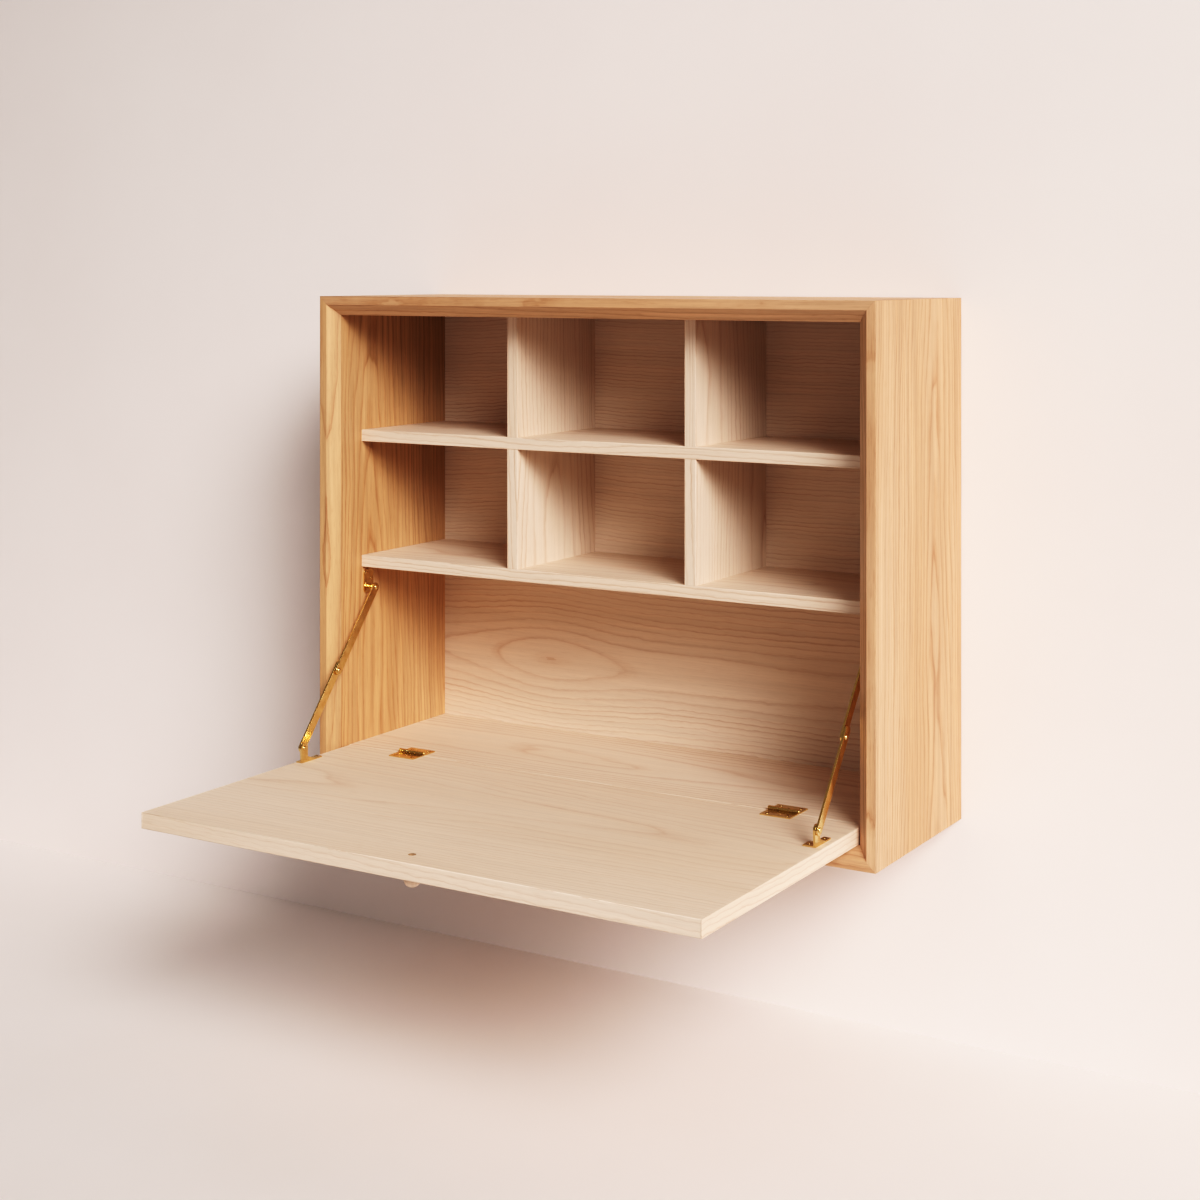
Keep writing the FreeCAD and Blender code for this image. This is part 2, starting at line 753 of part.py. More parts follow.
def hinges(floor_screws, leaf_screws):
    """Two surface hinges with three knuckles each."""
    sixth = "Size.hinge_length / 6"
    gap = "Size.knuckle_gap / 2"
    outer_spans = [
        ("-Size.hinge_length / 2", f"-({sixth} + {gap})"),
        (f"{sixth} + {gap}", "Size.hinge_length / 2"),
    ]
    middle_span = [(f"{gap} - {sixth}", f"{sixth} - {gap}")]
    for word, side in SIDES.items():
        middle = f"{side} * Place.hinge_x"
        hinge_plate(f"{word}_hinge_floor_plate", middle, 1, outer_spans, floor_screws)
        hinge_plate(f"{word}_hinge_leaf_plate", middle, -1, middle_span, leaf_screws)
        hinge_pin(f"{word}_hinge_pin", middle)


# Folding stays

def stay_wall_screws():
    """Three screws in each wall bracket, two in front of the stud and one behind it."""
    screws = []
    spots = [
        ("-Size.bracket_screw_front", "Size.bracket_screw_high"),
        ("Size.bracket_screw_rear", "Size.bracket_screw_middle"),
        ("-Size.bracket_screw_front", "Size.bracket_screw_low"),
    ]
    for side in SIDES.values():
        for y, z in spots:
            head = (f"{side} * Place.bracket_inner", f"Place.stud_y + {y}", f"Place.stud_z + {z}")
            screws.append(screw(f"stay_wall_screw_{len(screws) + 1}", head, side * -90))
    return publish("stay_wall_screws", group("stay_wall_screw_set", screws))


def wall_bracket(name, side, pivot, screws):
    """Plate on the side panel with a stud that carries the upper arm."""
    outline = [
        ("Place.stud_y - Size.bracket_front", "Place.stud_z - Size.bracket_below"),
        ("Place.stud_y + Size.bracket_rear", "Place.stud_z - Size.bracket_below"),
        ("Place.stud_y + Size.bracket_rear", "Place.stud_z + Size.bracket_above"),
        ("Place.stud_y - Size.bracket_front", "Place.stud_z + Size.bracket_above"),
    ]
    plate = prism(f"{name}_plate", "YZ_Plane", outline, "Size.bracket_thickness")
    ease(plate, "Size.bracket_corner", lambda edge: along(edge, X_AXIS))
    low, _ = sided(side, "Place.bracket_inner", "Place.inner_half_width")
    move(plate, low)
    stud_low, _ = sided(side, "Place.stud_inner", "Place.bracket_inner")
    stud = rod(f"{name}_stud", "X", (stud_low, "Place.stud_y", "Place.stud_z"),
               "Place.bracket_inner - Place.stud_inner", "Size.stud_radius")
    return publish(name, carve(name, fuse(f"{name}_solid", [plate, stud]), [pivot, screws]))


def arm(name, side, slab, length, overlap, start, bored_at, tight):
    """A flat bar with round ends, drawn along Y from its upper pivot and turned to the stay's line."""
    low, high = sided(side, *slab)
    half = "Size.arm_width / 2"
    thickness = "Size.arm_thickness"
    bar = block(f"{name}_bar", (low, f"-{overlap}", f"-{half}"), (high, length, half))
    ends = [
        rod(f"{name}_end_{number}", "X", (low, y, "0"), thickness, half)
        for number, y in enumerate((f"-{overlap}", length), start=1)
    ]
    hole = rod(f"{name}_hole", "X", (f"{low} - Size.overrun", bored_at, "0"),
               f"{thickness} + 2 * Size.overrun", "Place.rivet_hole_radius")
    bored = carve(f"{name}_bored", fuse(f"{name}_solid", [bar] + ends), [hole])
    bored.Placement = Placement(Vector(), Rotation(X_AXIS, 1))
    bored.setExpression("Placement.Rotation.Angle", "Place.stay_angle")
    move(bored, "0", *start)
    return publish(name, carve(name, bored, [tight]))


def stay_leaf_screws():
    """Three screws in each leaf bracket: one in its wing and two in its tail."""
    screws = []
    tail_x = "(Size.arm_thickness + Size.tail_width) / 2"
    wing_x = {1: "Size.wing_screw_inset", -1: "Size.outer_wing_screw_inset"}
    for side in SIDES.values():
        spots = [
            (wing_x[side], "Size.wing_screw_reach"),
            (tail_x, "Size.tail_screw_near"),
            (tail_x, "Size.tail_screw_far"),
        ]
        for x, y in spots:
            head = (f"{ear_edge(side)} - {x}", f"Place.ear_y + {y}", "Place.base_top")
            screws.append(screw(f"stay_leaf_screw_{len(screws) + 1}", head, 0))
    return publish("stay_leaf_screws", group("stay_leaf_screw_set", screws))


def ear_edge(side):
    """X of the ear's right face. Both base plates reach to the left of their ears, the left one less far."""
    return sided(side, "Place.ear_inner", "Place.ear_outer")[1]


def leaf_bracket(name, side, pivot, screws):
    """Base plate on the leaf with an upright ear for the lower arm."""
    edge = ear_edge(side)
    front = "Place.ear_y - Size.base_front"
    rear = "Place.ear_y + Size.tail_length"
    wing_rear = "Place.ear_y - Size.base_front + Size.wing_length"
    wing_width = "Size.wing_width" if side > 0 else "Size.outer_wing_width"
    base_outline = [
        (edge, front),
        (edge, rear),
        (f"{edge} - Size.tail_width", rear),
        (f"{edge} - Size.tail_width", f"{wing_rear} + Size.wing_taper"),
        (f"{edge} - {wing_width}", wing_rear),
        (f"{edge} - {wing_width}", front),
    ]
    base = prism(f"{name}_base", "XY_Plane", base_outline, "Size.bracket_thickness")
    move(base, z="Place.floor_top")
    ear_outline = [
        (front, "Place.floor_top"),
        ("Place.ear_y - Size.ear_radius", "Place.ear_z"),
        ("Place.ear_y + Size.ear_radius", "Place.ear_z"),
        ("Place.ear_y + Size.ear_radius", "Place.floor_top + Size.ear_foot_height"),
        ("Place.ear_y + Size.ear_foot_length", "Place.base_top"),
        ("Place.ear_y + Size.ear_foot_length", "Place.floor_top"),
    ]
    ear = prism(f"{name}_ear", "YZ_Plane", ear_outline, "Size.arm_thickness")
    low, _ = sided(side, "Place.ear_inner", "Place.ear_outer")
    move(ear, low)
    pivot_spot = (low, "Place.ear_y", "Place.ear_z")
    top = rod(f"{name}_ear_top", "X", pivot_spot, "Size.arm_thickness", "Size.ear_radius")
    return publish(name, carve(name, fuse(f"{name}_solid", [base, ear, top]), [pivot, screws]))


def stays(wall_screws, leaf_screws):
    """Two folding stays, straight while the leaf is open."""
    for word, side in SIDES.items():
        name = f"{word}_stay"
        stud = ("Place.stud_y", "Place.stud_z")
        joint = ("Place.joint_y", "Place.joint_z")
        ear = ("Place.ear_y", "Place.ear_z")
        upper_slab = ("Place.upper_arm_inner", "Place.upper_arm_outer")
        lower_slab = ("Place.lower_arm_inner", "Place.lower_arm_outer")
        upper_span = ("Place.upper_arm_inner", "Place.stud_inner + Size.rivet_grip")
        lower_span = ("Place.ear_inner", "Place.lower_arm_outer + Size.arm_gap")
        upper = rivet(f"{name}_upper_rivet", side, upper_span, ("inner",), stud)
        inner_half = rivet(f"{name}_middle_rivet_inner", side, upper_slab, ("inner",), joint)
        outer_half = rivet(f"{name}_middle_rivet_outer", side, lower_slab, ("outer",), joint)
        lower = rivet(f"{name}_lower_rivet", side, lower_span, ("inner", "outer"), ear)
        wall_bracket(f"{name}_wall_bracket", side, upper, wall_screws)
        arm(f"{name}_upper_arm", side, upper_slab, "Size.upper_arm_length", "0", stud, "0", inner_half)
        arm(f"{name}_lower_arm", side, lower_slab, "Place.lower_arm_length", "Size.lower_arm_overlap",
            joint, "Place.lower_arm_length", outer_half)
        leaf_bracket(f"{name}_leaf_bracket", side, lower, leaf_screws)


# Whole desk

def build():
    """Make every piece, each one after the pieces that are let into it."""
    splines = corner_splines()
    back = back_panel()
    dowels = cleat_dowels()
    locks = lock_screws()
    floor_screws = hinge_screws("hinge_floor_screws", 1)
    leaf_screws = hinge_screws("hinge_leaf_screws", -1)
    wall_screws = stay_wall_screws()
    bracket_screws = stay_leaf_screws()
    upper = [divider(f"upper_{word}_divider", side, "Place.middle_shelf_top", "Place.inner_half_height")
             for word, side in SIDES.items()]
    lower = [divider(f"lower_{word}_divider", side, "Place.lower_shelf_top", "Place.middle_shelf_base")
             for word, side in SIDES.items()]
    shelves = [
        shelf("middle_shelf", "Place.middle_shelf_base", upper + lower),
        shelf("lower_shelf", "Place.lower_shelf_base", lower),
    ]
    width, height = "Place.half_width", "Place.half_height"
    side_tools = [splines, back, dowels, wall_screws] + shelves
    case_panel("left_side_panel", height, width, 90, side_tools)
    case_panel("right_side_panel", height, width, -90, side_tools)
    case_panel("top_panel", width, height, 180, [splines, back] + upper)
    case_panel("bottom_panel", width, height, 0, [splines, back, locks])
    floor_board([floor_screws])
    hanging_cleat(dowels)
    wall_cleat()
    wall_batten(locks)
    desk_leaf([leaf_screws, bracket_screws])
    edge_bands()
    knob(knob_screw())
    hinges(floor_screws, leaf_screws)
    stays(wall_screws, bracket_screws)


def confirm():
    """Stop if any object failed or any piece is not a valid shape."""
    for item in doc.Objects:
        if "Invalid" in item.State or "Error" in item.State:
            raise RuntimeError(f"{item.Label} failed: {item.State}")
    for node, piece in nodes.items():
        if piece.Shape.isNull() or not piece.Shape.isValid():
            raise RuntimeError(f"{node} has no valid shape")


def export():
    """Write one file for each piece."""
    os.makedirs("parts", exist_ok=True)
    for node, piece in nodes.items():
        piece.Shape.exportStep(f"parts/{node}.step")
        print(node, len(piece.Shape.Solids), round(piece.Shape.Volume))


fill_sheet("Size", SIZES, "")
fill_sheet("Place", PLACES, "=")
build()
doc.recompute()
confirm()
export()
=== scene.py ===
import json
import logging
import math
from collections.abc import Iterable
from dataclasses import dataclass, replace
from enum import Enum

import bmesh
import bpy
from mathutils import Euler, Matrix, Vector

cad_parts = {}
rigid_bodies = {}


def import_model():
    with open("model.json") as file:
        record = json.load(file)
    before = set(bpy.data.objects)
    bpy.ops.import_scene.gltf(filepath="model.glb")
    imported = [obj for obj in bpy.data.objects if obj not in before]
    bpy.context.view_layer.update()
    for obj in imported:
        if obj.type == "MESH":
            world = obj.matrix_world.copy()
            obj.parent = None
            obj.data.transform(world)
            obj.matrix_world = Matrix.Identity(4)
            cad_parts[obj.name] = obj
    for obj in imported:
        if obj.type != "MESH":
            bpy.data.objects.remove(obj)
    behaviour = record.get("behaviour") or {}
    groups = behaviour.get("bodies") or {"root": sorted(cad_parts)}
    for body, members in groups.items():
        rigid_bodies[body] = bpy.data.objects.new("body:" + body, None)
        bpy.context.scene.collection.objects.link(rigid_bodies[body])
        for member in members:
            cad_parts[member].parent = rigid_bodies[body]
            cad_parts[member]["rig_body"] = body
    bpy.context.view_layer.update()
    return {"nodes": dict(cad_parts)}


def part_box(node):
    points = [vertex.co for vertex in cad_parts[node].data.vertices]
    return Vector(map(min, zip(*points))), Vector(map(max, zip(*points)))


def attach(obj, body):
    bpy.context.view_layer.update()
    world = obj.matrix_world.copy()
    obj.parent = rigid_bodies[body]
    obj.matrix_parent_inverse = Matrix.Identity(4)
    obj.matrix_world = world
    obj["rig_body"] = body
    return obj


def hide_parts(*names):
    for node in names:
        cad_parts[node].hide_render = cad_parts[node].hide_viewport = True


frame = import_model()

# A wall-hung cabinet with six cubbies and a desk leaf held level by folding brass stays.
# Metres, in the frame of the CAD model: X to the viewer's right, Y into the wall, Z up.

LOG = logging.getLogger("wall_desk")

Colour = tuple[float, float, float, float]
Triple = tuple[float, float, float]
Pair = tuple[float, float]
Box = tuple[Vector, Vector]
Socket = bpy.types.NodeSocket
Feed = Socket | float | tuple[float, ...]

SIDES = {"left": -1, "right": 1}
UNIT = (0.0, 1.0)
WELD = 1e-6
NOISE_MIDDLE = (0.5, 0.5, 0.5)
# Noise seldom strays more than a quarter from its middle, so this brings it to its full reach.
NOISE_GAIN = 4.0


def display_colour(red: int, green: int, blue: int) -> Colour:
    """Turn an 8-bit display colour into the linear one that shaders take.

    Args:
        red: Red, 0 to 255.
        green: Green, 0 to 255.
        blue: Blue, 0 to 255.

    Returns:
        The linear colour with full alpha.
    """
    full, toe, slope, offset, power = 255, 0.04045, 12.92, 0.055, 2.4
    shares = (channel / full for channel in (red, green, blue))
    linear = [
        share / slope if share <= toe else ((share + offset) / (1 + offset)) ** power
        for share in shares
    ]
    return (*linear, 1.0)


class Grain(Enum):
    """Which way the fibres of a board run, as the turn that lays them along X."""

    ALONG_X = (0.0, 0.0, 0.0)
    ALONG_Y = (0.0, 0.0, -math.pi / 2)
    ALONG_Z = (0.0, math.pi / 2, 0.0)


class Facing(Enum):
    """Which way the head of a fastener looks."""

    UP = (0.0, 0.0, 1.0)
    DOWN = (0.0, 0.0, -1.0)
    RIGHT = (1.0, 0.0, 0.0)
    LEFT = (-1.0, 0.0, 0.0)

    @property
    def vector(self) -> Vector:
        """The direction as a vector."""
        return Vector(self.value)


class Bench:
    """Adds nodes to one tree and joins them."""

    MIX_SHARE, MIX_FIRST, MIX_SECOND, MIX_RESULT = 0, 6, 7, 2

    def __init__(self, tree: bpy.types.NodeTree) -> None:
        """Clear the tree and keep it."""
        tree.nodes.clear()
        self.tree = tree

    def add(self, kind: str, inputs: dict[str | int, object] | None = None,
            **settings: object) -> bpy.types.Node:
        """Add one node.

        Args:
            kind: Blender's name for the node.
            inputs: Socket name or number to a value or to another node's output.
            **settings: Properties of the node itself.

        Returns:
            The new node.
        """
        node = self.tree.nodes.new(kind)
        for name, value in settings.items():
            setattr(node, name, value)
        for key, value in (inputs or {}).items():
            if isinstance(value, Socket):
                self.tree.links.new(value, node.inputs[key])
            else:
                node.inputs[key].default_value = value
        return node

    def math(self, operation: str, first: Feed, second: Feed = 0.0) -> Socket:
        """Combine two numbers."""
        return self.add("ShaderNodeMath", {0: first, 1: second}, operation=operation).outputs[0]

    def vector(self, operation: str, first: Feed, second: Feed) -> Socket:
        """Combine two vectors into a vector."""
        node = self.add("ShaderNodeVectorMath", {0: first, 1: second}, operation=operation)
        return node.outputs["Vector"]

    def remap(self, value: Feed, old: Pair, new: Pair) -> Socket:
        """Carry a number from one range to another, held inside it."""
        inputs = {"Value": value, "From Min": old[0], "From Max": old[1], "To Min": new[0], "To Max": new[1]}
        return self.add("ShaderNodeMapRange", inputs).outputs["Result"]

    def mix(self, share: Feed, first: Feed, second: Feed) -> Socket:
        """Blend two colours."""
        inputs = {self.MIX_SHARE: share, self.MIX_FIRST: first, self.MIX_SECOND: second}
        return self.add("ShaderNodeMix", inputs, data_type="RGBA").outputs[self.MIX_RESULT]

    def ramp(self, value: Feed, stops: Iterable[Pair]) -> Socket:
        """Shape a number by a curve of stops.

        Args:
            value: The number, 0 to 1.
            stops: Position and level of each stop, in order.

        Returns:
            The level.
        """
        node = self.add("ShaderNodeValToRGB", {0: value})
        node.color_ramp.interpolation = "EASE"
        elements = node.color_ramp.elements
        stops = list(stops)
        while len(elements) < len(stops):
            elements.new(1.0)
        for element, (position, level) in zip(elements, stops):
            element.position = position
            element.color = (level, level, level, 1.0)
        return node.outputs["Color"]

    def stretched(self, place: Feed, density: Triple) -> Socket:
        """Scale a place along each axis."""
        return self.vector("MULTIPLY", place, density)

    def noise(self, place: Feed, density: Triple, detail: float = 2.0) -> bpy.types.Node:
        """Noise with its own density along each axis, in repeats per metre."""
        inputs = {"Vector": self.stretched(place, density), "Scale": 1.0, "Detail": detail, "Roughness": 0.55}
        return self.add("ShaderNodeTexNoise", inputs)

    def bump(self, height: Feed, strength: float, distance: float) -> Socket:
        """Tilt the surface as a height would."""
        inputs = {"Strength": strength, "Distance": distance, "Height": height}
        return self.add("ShaderNodeBump", inputs).outputs["Normal"]

    def output(self, shader: Socket) -> None:
        """Send a shader to the surface."""
        self.add("ShaderNodeOutputMaterial", {"Surface": shader})


def new_material(name: str) -> tuple[bpy.types.Material, Bench]:
    """Make an empty node material.

    Args:
        name: The material's name.

    Returns:
        The material and a bench for its tree.
    """
    material = bpy.data.materials.new(name)
    material.use_nodes = True
    return material, Bench(material.node_tree)


@dataclass(frozen=True)
class Log:
    """How a board lies in the log that it was sawn from.

    The width is the direction across the fibres, once they lie along X, in which the wide face runs.
    """

    grain: Grain
    heart: Triple
    seed: float
    ring_step: float = 0.0065
    taper: float = 0.012
    swell: float = 0.0
    swell_reach: float = 0.15
    drift: float = 0.010
    flame: float = 0.0012
    clarity: float = 1.0
    width: Triple = (0.0, 1.0, 0.0)


@dataclass(frozen=True)
class Timber:
    """One sort of wood under one finish.

    A density gives a noise's repeats per metre, first along the fibres and then across them. A band is the
    part of a noise's range that is spread over the whole of what it drives.
    """

    name: str
    early: Colour
    warm: Colour
    late: Colour
    pore: Colour
    line_strength: float
    pore_strength: float
    fibre_contrast: float
    streak_contrast: float
    roughness: Pair
    coat: float = 0.0
    coat_roughness: float = 0.35
    specular: float = 0.4
    relief: float = 0.14
    relief_height: float = 0.0005
    line_sink: float = 0.5
    tremble: float = 0.0009
    feather: float = 0.00018
    pace: float = 1.3
    pace_density: float = 45.0
    faintest_ring: float = 0.35
    patchiness: float = 0.5
    streak_density: float = 130.0
    streak_density_along: float = 2.8
    fibre_density: Triple = (9.0, 420.0, 420.0)
    wander_density: Triple = (1.3, 5.0, 5.0)
    flame_density: Triple = (4.0, 17.0, 17.0)
    shake_density: Triple = (42.0, 55.0, 55.0)
    fringe_density: Triple = (9.0, 240.0, 240.0)
    patch_density: Triple = (2.6, 18.0, 18.0)
    tone_density: Triple = (0.9, 6.0, 6.0)
    pore_density: Triple = (48.0, 1000.0, 1000.0)
    fibre_band: Pair = (0.3, 0.7)
    patch_band: Pair = (0.34, 0.62)
    tone_band: Pair = (0.35, 0.65)
    pore_band: Pair = (0.57, 0.67)
    crowding_band: Pair = (0.0, 0.6)
    crowding: Pair = (0.35, 1.0)
    line_shape: tuple[Pair, ...] = (
        (0.0, 1.0), (0.14, 0.55), (0.36, 0.12), (0.75, 0.0), (0.92, 0.2), (1.0, 1.0),
    )

    def material(self, board: str, log: Log) -> bpy.types.Material:
        """Make the wood of one board, cut from its own place in the log.

        Args:
            board: Name of the board.
            log: How the board lies in its log.

        Returns:
            The material.
        """
        material, bench = new_material(f"{self.name}_{board}")
        place = bench.add("ShaderNodeTexCoord").outputs["Object"]
        from_heart = bench.vector("SUBTRACT", place, log.heart)
        turn = {"Vector": from_heart, "Rotation": log.grain.value}
        turned = bench.add("ShaderNodeMapping", turn).outputs["Vector"]
        own = bench.vector("ADD", turned, (log.seed, 0.0, 0.0))
        line = self._growth(bench, turned, own, log)
        fibre = bench.noise(own, self.fibre_density, detail=3.0).outputs["Fac"]
        colour = self._colour(bench, own, line, fibre)
        rough = bench.remap(fibre, self.fibre_band, self.roughness)
        height = bench.math("SUBTRACT", fibre, bench.math("MULTIPLY", line, self.line_sink))
        shader = bench.add("ShaderNodeBsdfPrincipled", {
            "Base Color": colour, "Roughness": rough,
            "Normal": bench.bump(height, self.relief, self.relief_height),
            "Specular IOR Level": self.specular,
            "Coat Weight": self.coat, "Coat Roughness": self.coat_roughness,
        })
        bench.output(shader.outputs["BSDF"])
        return material

    def _growth(self, bench: Bench, turned: Socket, own: Socket, log: Log) -> Socket:
        """Draw the growth lines, some strong and some faint.

        Args:
            bench: The material's bench.
            turned: Place from the heart, with the fibres along X.
            own: The same, moved to this board's own noise.
            log: How the board lies in its log.

        Returns:
            How strongly a growth line shows at a point, 0 to 1.
        """
        every_way = (0.0, 1.0, 1.0)
        bends = (
            (self.wander_density, log.drift, every_way), (self.flame_density, log.flame, every_way),
            (self.shake_density, self.tremble, log.width), (self.fringe_density, self.feather, every_way),
        )
        cross = bench.stretched(turned, every_way)
        for density, reach, ways in bends:
            noise = bench.noise(own, density).outputs["Color"]
            centred = bench.vector("SUBTRACT", noise, NOISE_MIDDLE)
            bend = tuple(NOISE_GAIN * reach * way for way in ways)
            cross = bench.vector("ADD", cross, bench.stretched(centred, bend))
        radius = bench.add("ShaderNodeVectorMath", {0: cross}, operation="LENGTH").outputs["Value"]
        along = bench.add("ShaderNodeSeparateXYZ", {0: turned}).outputs["X"]
        square = bench.math("MULTIPLY", along, along)
        rise = bench.math("DIVIDE", square, bench.math("ADD", square, log.swell_reach ** 2))
        swollen = bench.math("MULTIPLY", rise, log.swell)
        lean = bench.math("ADD", swollen, bench.math("MULTIPLY", along, log.taper))
        grown = bench.math("ADD", radius, lean)
        seasons = {"W": bench.math("MULTIPLY", grown, self.pace_density), "Scale": 1.0, "Detail": 2.0}
        pace = bench.add("ShaderNodeTexNoise", seasons, noise_dimensions="1D").outputs["Fac"]
        ahead = bench.math("MULTIPLY", pace, self.pace)
        years = bench.math("ADD", bench.math("DIVIDE", grown, log.ring_step), ahead)
        line = bench.ramp(bench.math("FRACT", years), self.line_shape)
        year = {"W": bench.math("FLOOR", years)}
        chance = bench.add("ShaderNodeTexWhiteNoise", year, noise_dimensions="1D").outputs["Value"]
        weight = bench.remap(chance, UNIT, (self.faintest_ring, 1.0))
        patch = bench.noise(own, self.patch_density).outputs["Fac"]
        clarity = ((1 - self.patchiness) * log.clarity, log.clarity)
        shown = bench.remap(patch, self.patch_band, clarity)
        return bench.math("MULTIPLY", line, bench.math("MULTIPLY", weight, shown))

    def _colour(self, bench: Bench, own: Socket, line: Socket, fibre: Socket) -> Socket:
        """Lay the colours of tone, lines, streaks and pores over each other.

        Args:
            bench: The material's bench.
            own: Place with the fibres along X, moved to this board's own noise.
            line: How strongly a growth line shows.
            fibre: Fine fibre noise.

        Returns:
            The base colour.
        """
        cloud = bench.noise(own, self.tone_density).outputs["Fac"]
        tone = bench.mix(bench.remap(cloud, self.tone_band, UNIT), self.early, self.warm)
        lined = bench.mix(bench.math("MULTIPLY", line, self.line_strength), tone, self.late)
        density = (self.streak_density_along, self.streak_density, self.streak_density)
        streak = bench.noise(own, density, detail=4.0).outputs["Fac"]
        broad = bench.remap(streak, self.fibre_band, (1 - self.streak_contrast, 1 + self.streak_contrast))
        fine = bench.remap(fibre, self.fibre_band, (-self.fibre_contrast, self.fibre_contrast))
        value = bench.math("ADD", broad, fine)
        streaked = bench.add("ShaderNodeHueSaturation", {"Value": value, "Color": lined}).outputs["Color"]
        dash = bench.noise(own, self.pore_density, detail=1.0).outputs["Fac"]
        pored = bench.remap(dash, self.pore_band, (0.0, self.pore_strength))
        crowded = bench.remap(line, self.crowding_band, self.crowding)
        return bench.mix(bench.math("MULTIPLY", pored, crowded), streaked, self.pore)


@dataclass(frozen=True)
class Metal:
    """A bare metal with faint smears and brushing."""

    name: str
    bright: Colour
    deep: Colour
    roughness: Pair
    smear_density: Triple = (90.0, 90.0, 90.0)
    brush_density: Triple = (2600.0, 300.0, 300.0)
    smear_band: Pair = (0.35, 0.7)
    wear_band: Pair = (0.35, 0.65)
    smear_share: float = 0.6
    brush_share: float = 0.4
    relief: float = 0.02
    relief_height: float = 0.0002

    def material(self) -> bpy.types.Material:
        """Make the metal.

        Returns:
            The material.
        """
        material, bench = new_material(self.name)
        place = bench.add("ShaderNodeTexCoord").outputs["Object"]
        smear = bench.noise(place, self.smear_density, detail=3.0).outputs["Fac"]
        brush = bench.noise(place, self.brush_density).outputs["Fac"]
        smeared = bench.math("MULTIPLY", smear, self.smear_share)
        wear = bench.math("ADD", smeared, bench.math("MULTIPLY", brush, self.brush_share))
        shader = bench.add("ShaderNodeBsdfPrincipled", {
            "Base Color": bench.mix(bench.remap(smear, self.smear_band, UNIT), self.bright, self.deep),
            "Roughness": bench.remap(wear, self.wear_band, self.roughness), "Metallic": 1.0,
            "Normal": bench.bump(brush, self.relief, self.relief_height),
        })
        bench.output(shader.outputs["BSDF"])
        return material


@dataclass(frozen=True)
class Plaster:
    """A pale matt surface of the room, seen from its front only."""

    name: str
    colour: Colour
    shade: Colour
    roughness: float = 0.9
    specular: float = 0.1
    cloud_density: Triple = (2.0, 2.0, 2.0)
    cloud_band: Pair = (0.3, 0.7)
    grit_density: Triple = (260.0, 260.0, 260.0)
    relief: float = 0.05
    relief_height: float = 0.001

    def material(self) -> bpy.types.Material:
        """Make the surface.

        Returns:
            The material.
        """
        material, bench = new_material(self.name)
        place = bench.add("ShaderNodeTexCoord").outputs["Object"]
        cloud = bench.noise(place, self.cloud_density, detail=3.0).outputs["Fac"]
        grit = bench.noise(place, self.grit_density).outputs["Fac"]
        shader = bench.add("ShaderNodeBsdfPrincipled", {
            "Base Color": bench.mix(bench.remap(cloud, self.cloud_band, UNIT), self.colour, self.shade),
            "Roughness": self.roughness, "Specular IOR Level": self.specular,
            "Normal": bench.bump(grit, self.relief, self.relief_height),
        })
        clear = bench.add("ShaderNodeBsdfTransparent")
        behind = bench.add("ShaderNodeNewGeometry").outputs["Backfacing"]
        one_sided = bench.add("ShaderNodeMixShader", {0: behind, 1: shader.outputs[0], 2: clear.outputs[0]})
        bench.output(one_sided.outputs[0])
        return material


HONEY = Timber(
    "honey_wood", early=display_colour(207, 167, 134), warm=display_colour(197, 154, 118),
    late=display_colour(146, 94, 56), pore=display_colour(138, 90, 56), line_strength=0.75,
    pore_strength=0.45, fibre_contrast=0.08, streak_contrast=0.14, roughness=(0.42, 0.56), coat=0.08,
    tremble=0.0006, streak_density=85.0,
)
# A darker, yellower copy of the honey wood for the left side panel, whose inner face is seen in shade:
# painted shade.
SHADED_HONEY = replace(
    HONEY, name="shaded_honey_wood", early=display_colour(201, 160, 120), warm=display_colour(191, 146, 104),
)
PALE = Timber(
    "pale_wood", early=display_colour(229, 207, 187), warm=display_colour(224, 199, 177),
    late=display_colour(182, 136, 106), pore=display_colour(186, 146, 120), line_strength=0.78,
    pore_strength=0.35, fibre_contrast=0.035, streak_contrast=0.04, roughness=(0.5, 0.64), tremble=0.0014,
    line_shape=((0.0, 1.0), (0.09, 0.55), (0.24, 0.12), (0.78, 0.0), (0.93, 0.2), (1.0, 1.0)),
)
# A darker wood for the wall of the knob screw's bore: painted shade inside the hole.
BORE_SHADE = Timber(
    "bore_shade_wood", early=display_colour(186, 148, 112), warm=display_colour(174, 134, 98),
    late=display_colour(134, 94, 64), pore=display_colour(112, 76, 52), line_strength=0.6, pore_strength=0.5,
    fibre_contrast=0.1, streak_contrast=0.1, roughness=(0.7, 0.85),
)
STRIP = Timber(
    "strip_wood", early=display_colour(214, 184, 142), warm=display_colour(204, 170, 126),
    late=display_colour(168, 122, 78), pore=display_colour(150, 108, 70), line_strength=0.6,
    pore_strength=0.3, fibre_contrast=0.06, streak_contrast=0.06, roughness=(0.65, 0.8),
)
BRASS = Metal("brass", display_colour(234, 209, 158), display_colour(216, 185, 130), (0.08, 0.18))
STEEL = Metal("zinc_steel", display_colour(196, 196, 194), display_colour(172, 172, 170), (0.3, 0.45))
WALL = Plaster("wall_paint", display_colour(244, 233, 228), display_colour(241, 229, 224))
FLOOR = Plaster("floor_paint", display_colour(242, 233, 229), display_colour(239, 229, 224))


def body_of(node: str) -> str:
    """Name of the rigid body that carries a CAD node."""
    return frame["nodes"][node]["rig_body"]


def middle_of(node: str) -> Vector:
    """Middle of a CAD node's box."""
    low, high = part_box(node)
    return (low + high) / 2


def dress(node: str, material: bpy.types.Material) -> None:
    """Give a CAD node that stays as it is its material.

    Args:
        node: Name of the node.
        material: What it is made of.
    """
    slots = frame["nodes"][node].data.materials
    slots.clear()
    slots.append(material)
    LOG.info("%s keeps its solid and gets %s", node, material.name)


def settle(piece: bpy.types.Object, node: str) -> bpy.types.Object:
    """Let a finished piece stand for a CAD node.

    Args:
        piece: The piece, in place.
        node: Name of the node that it replaces.

    Returns:
        The piece.
    """
    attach(piece, body_of(node))
    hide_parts(node)
    LOG.info("%s stands for %s", piece.name, node)
    return piece


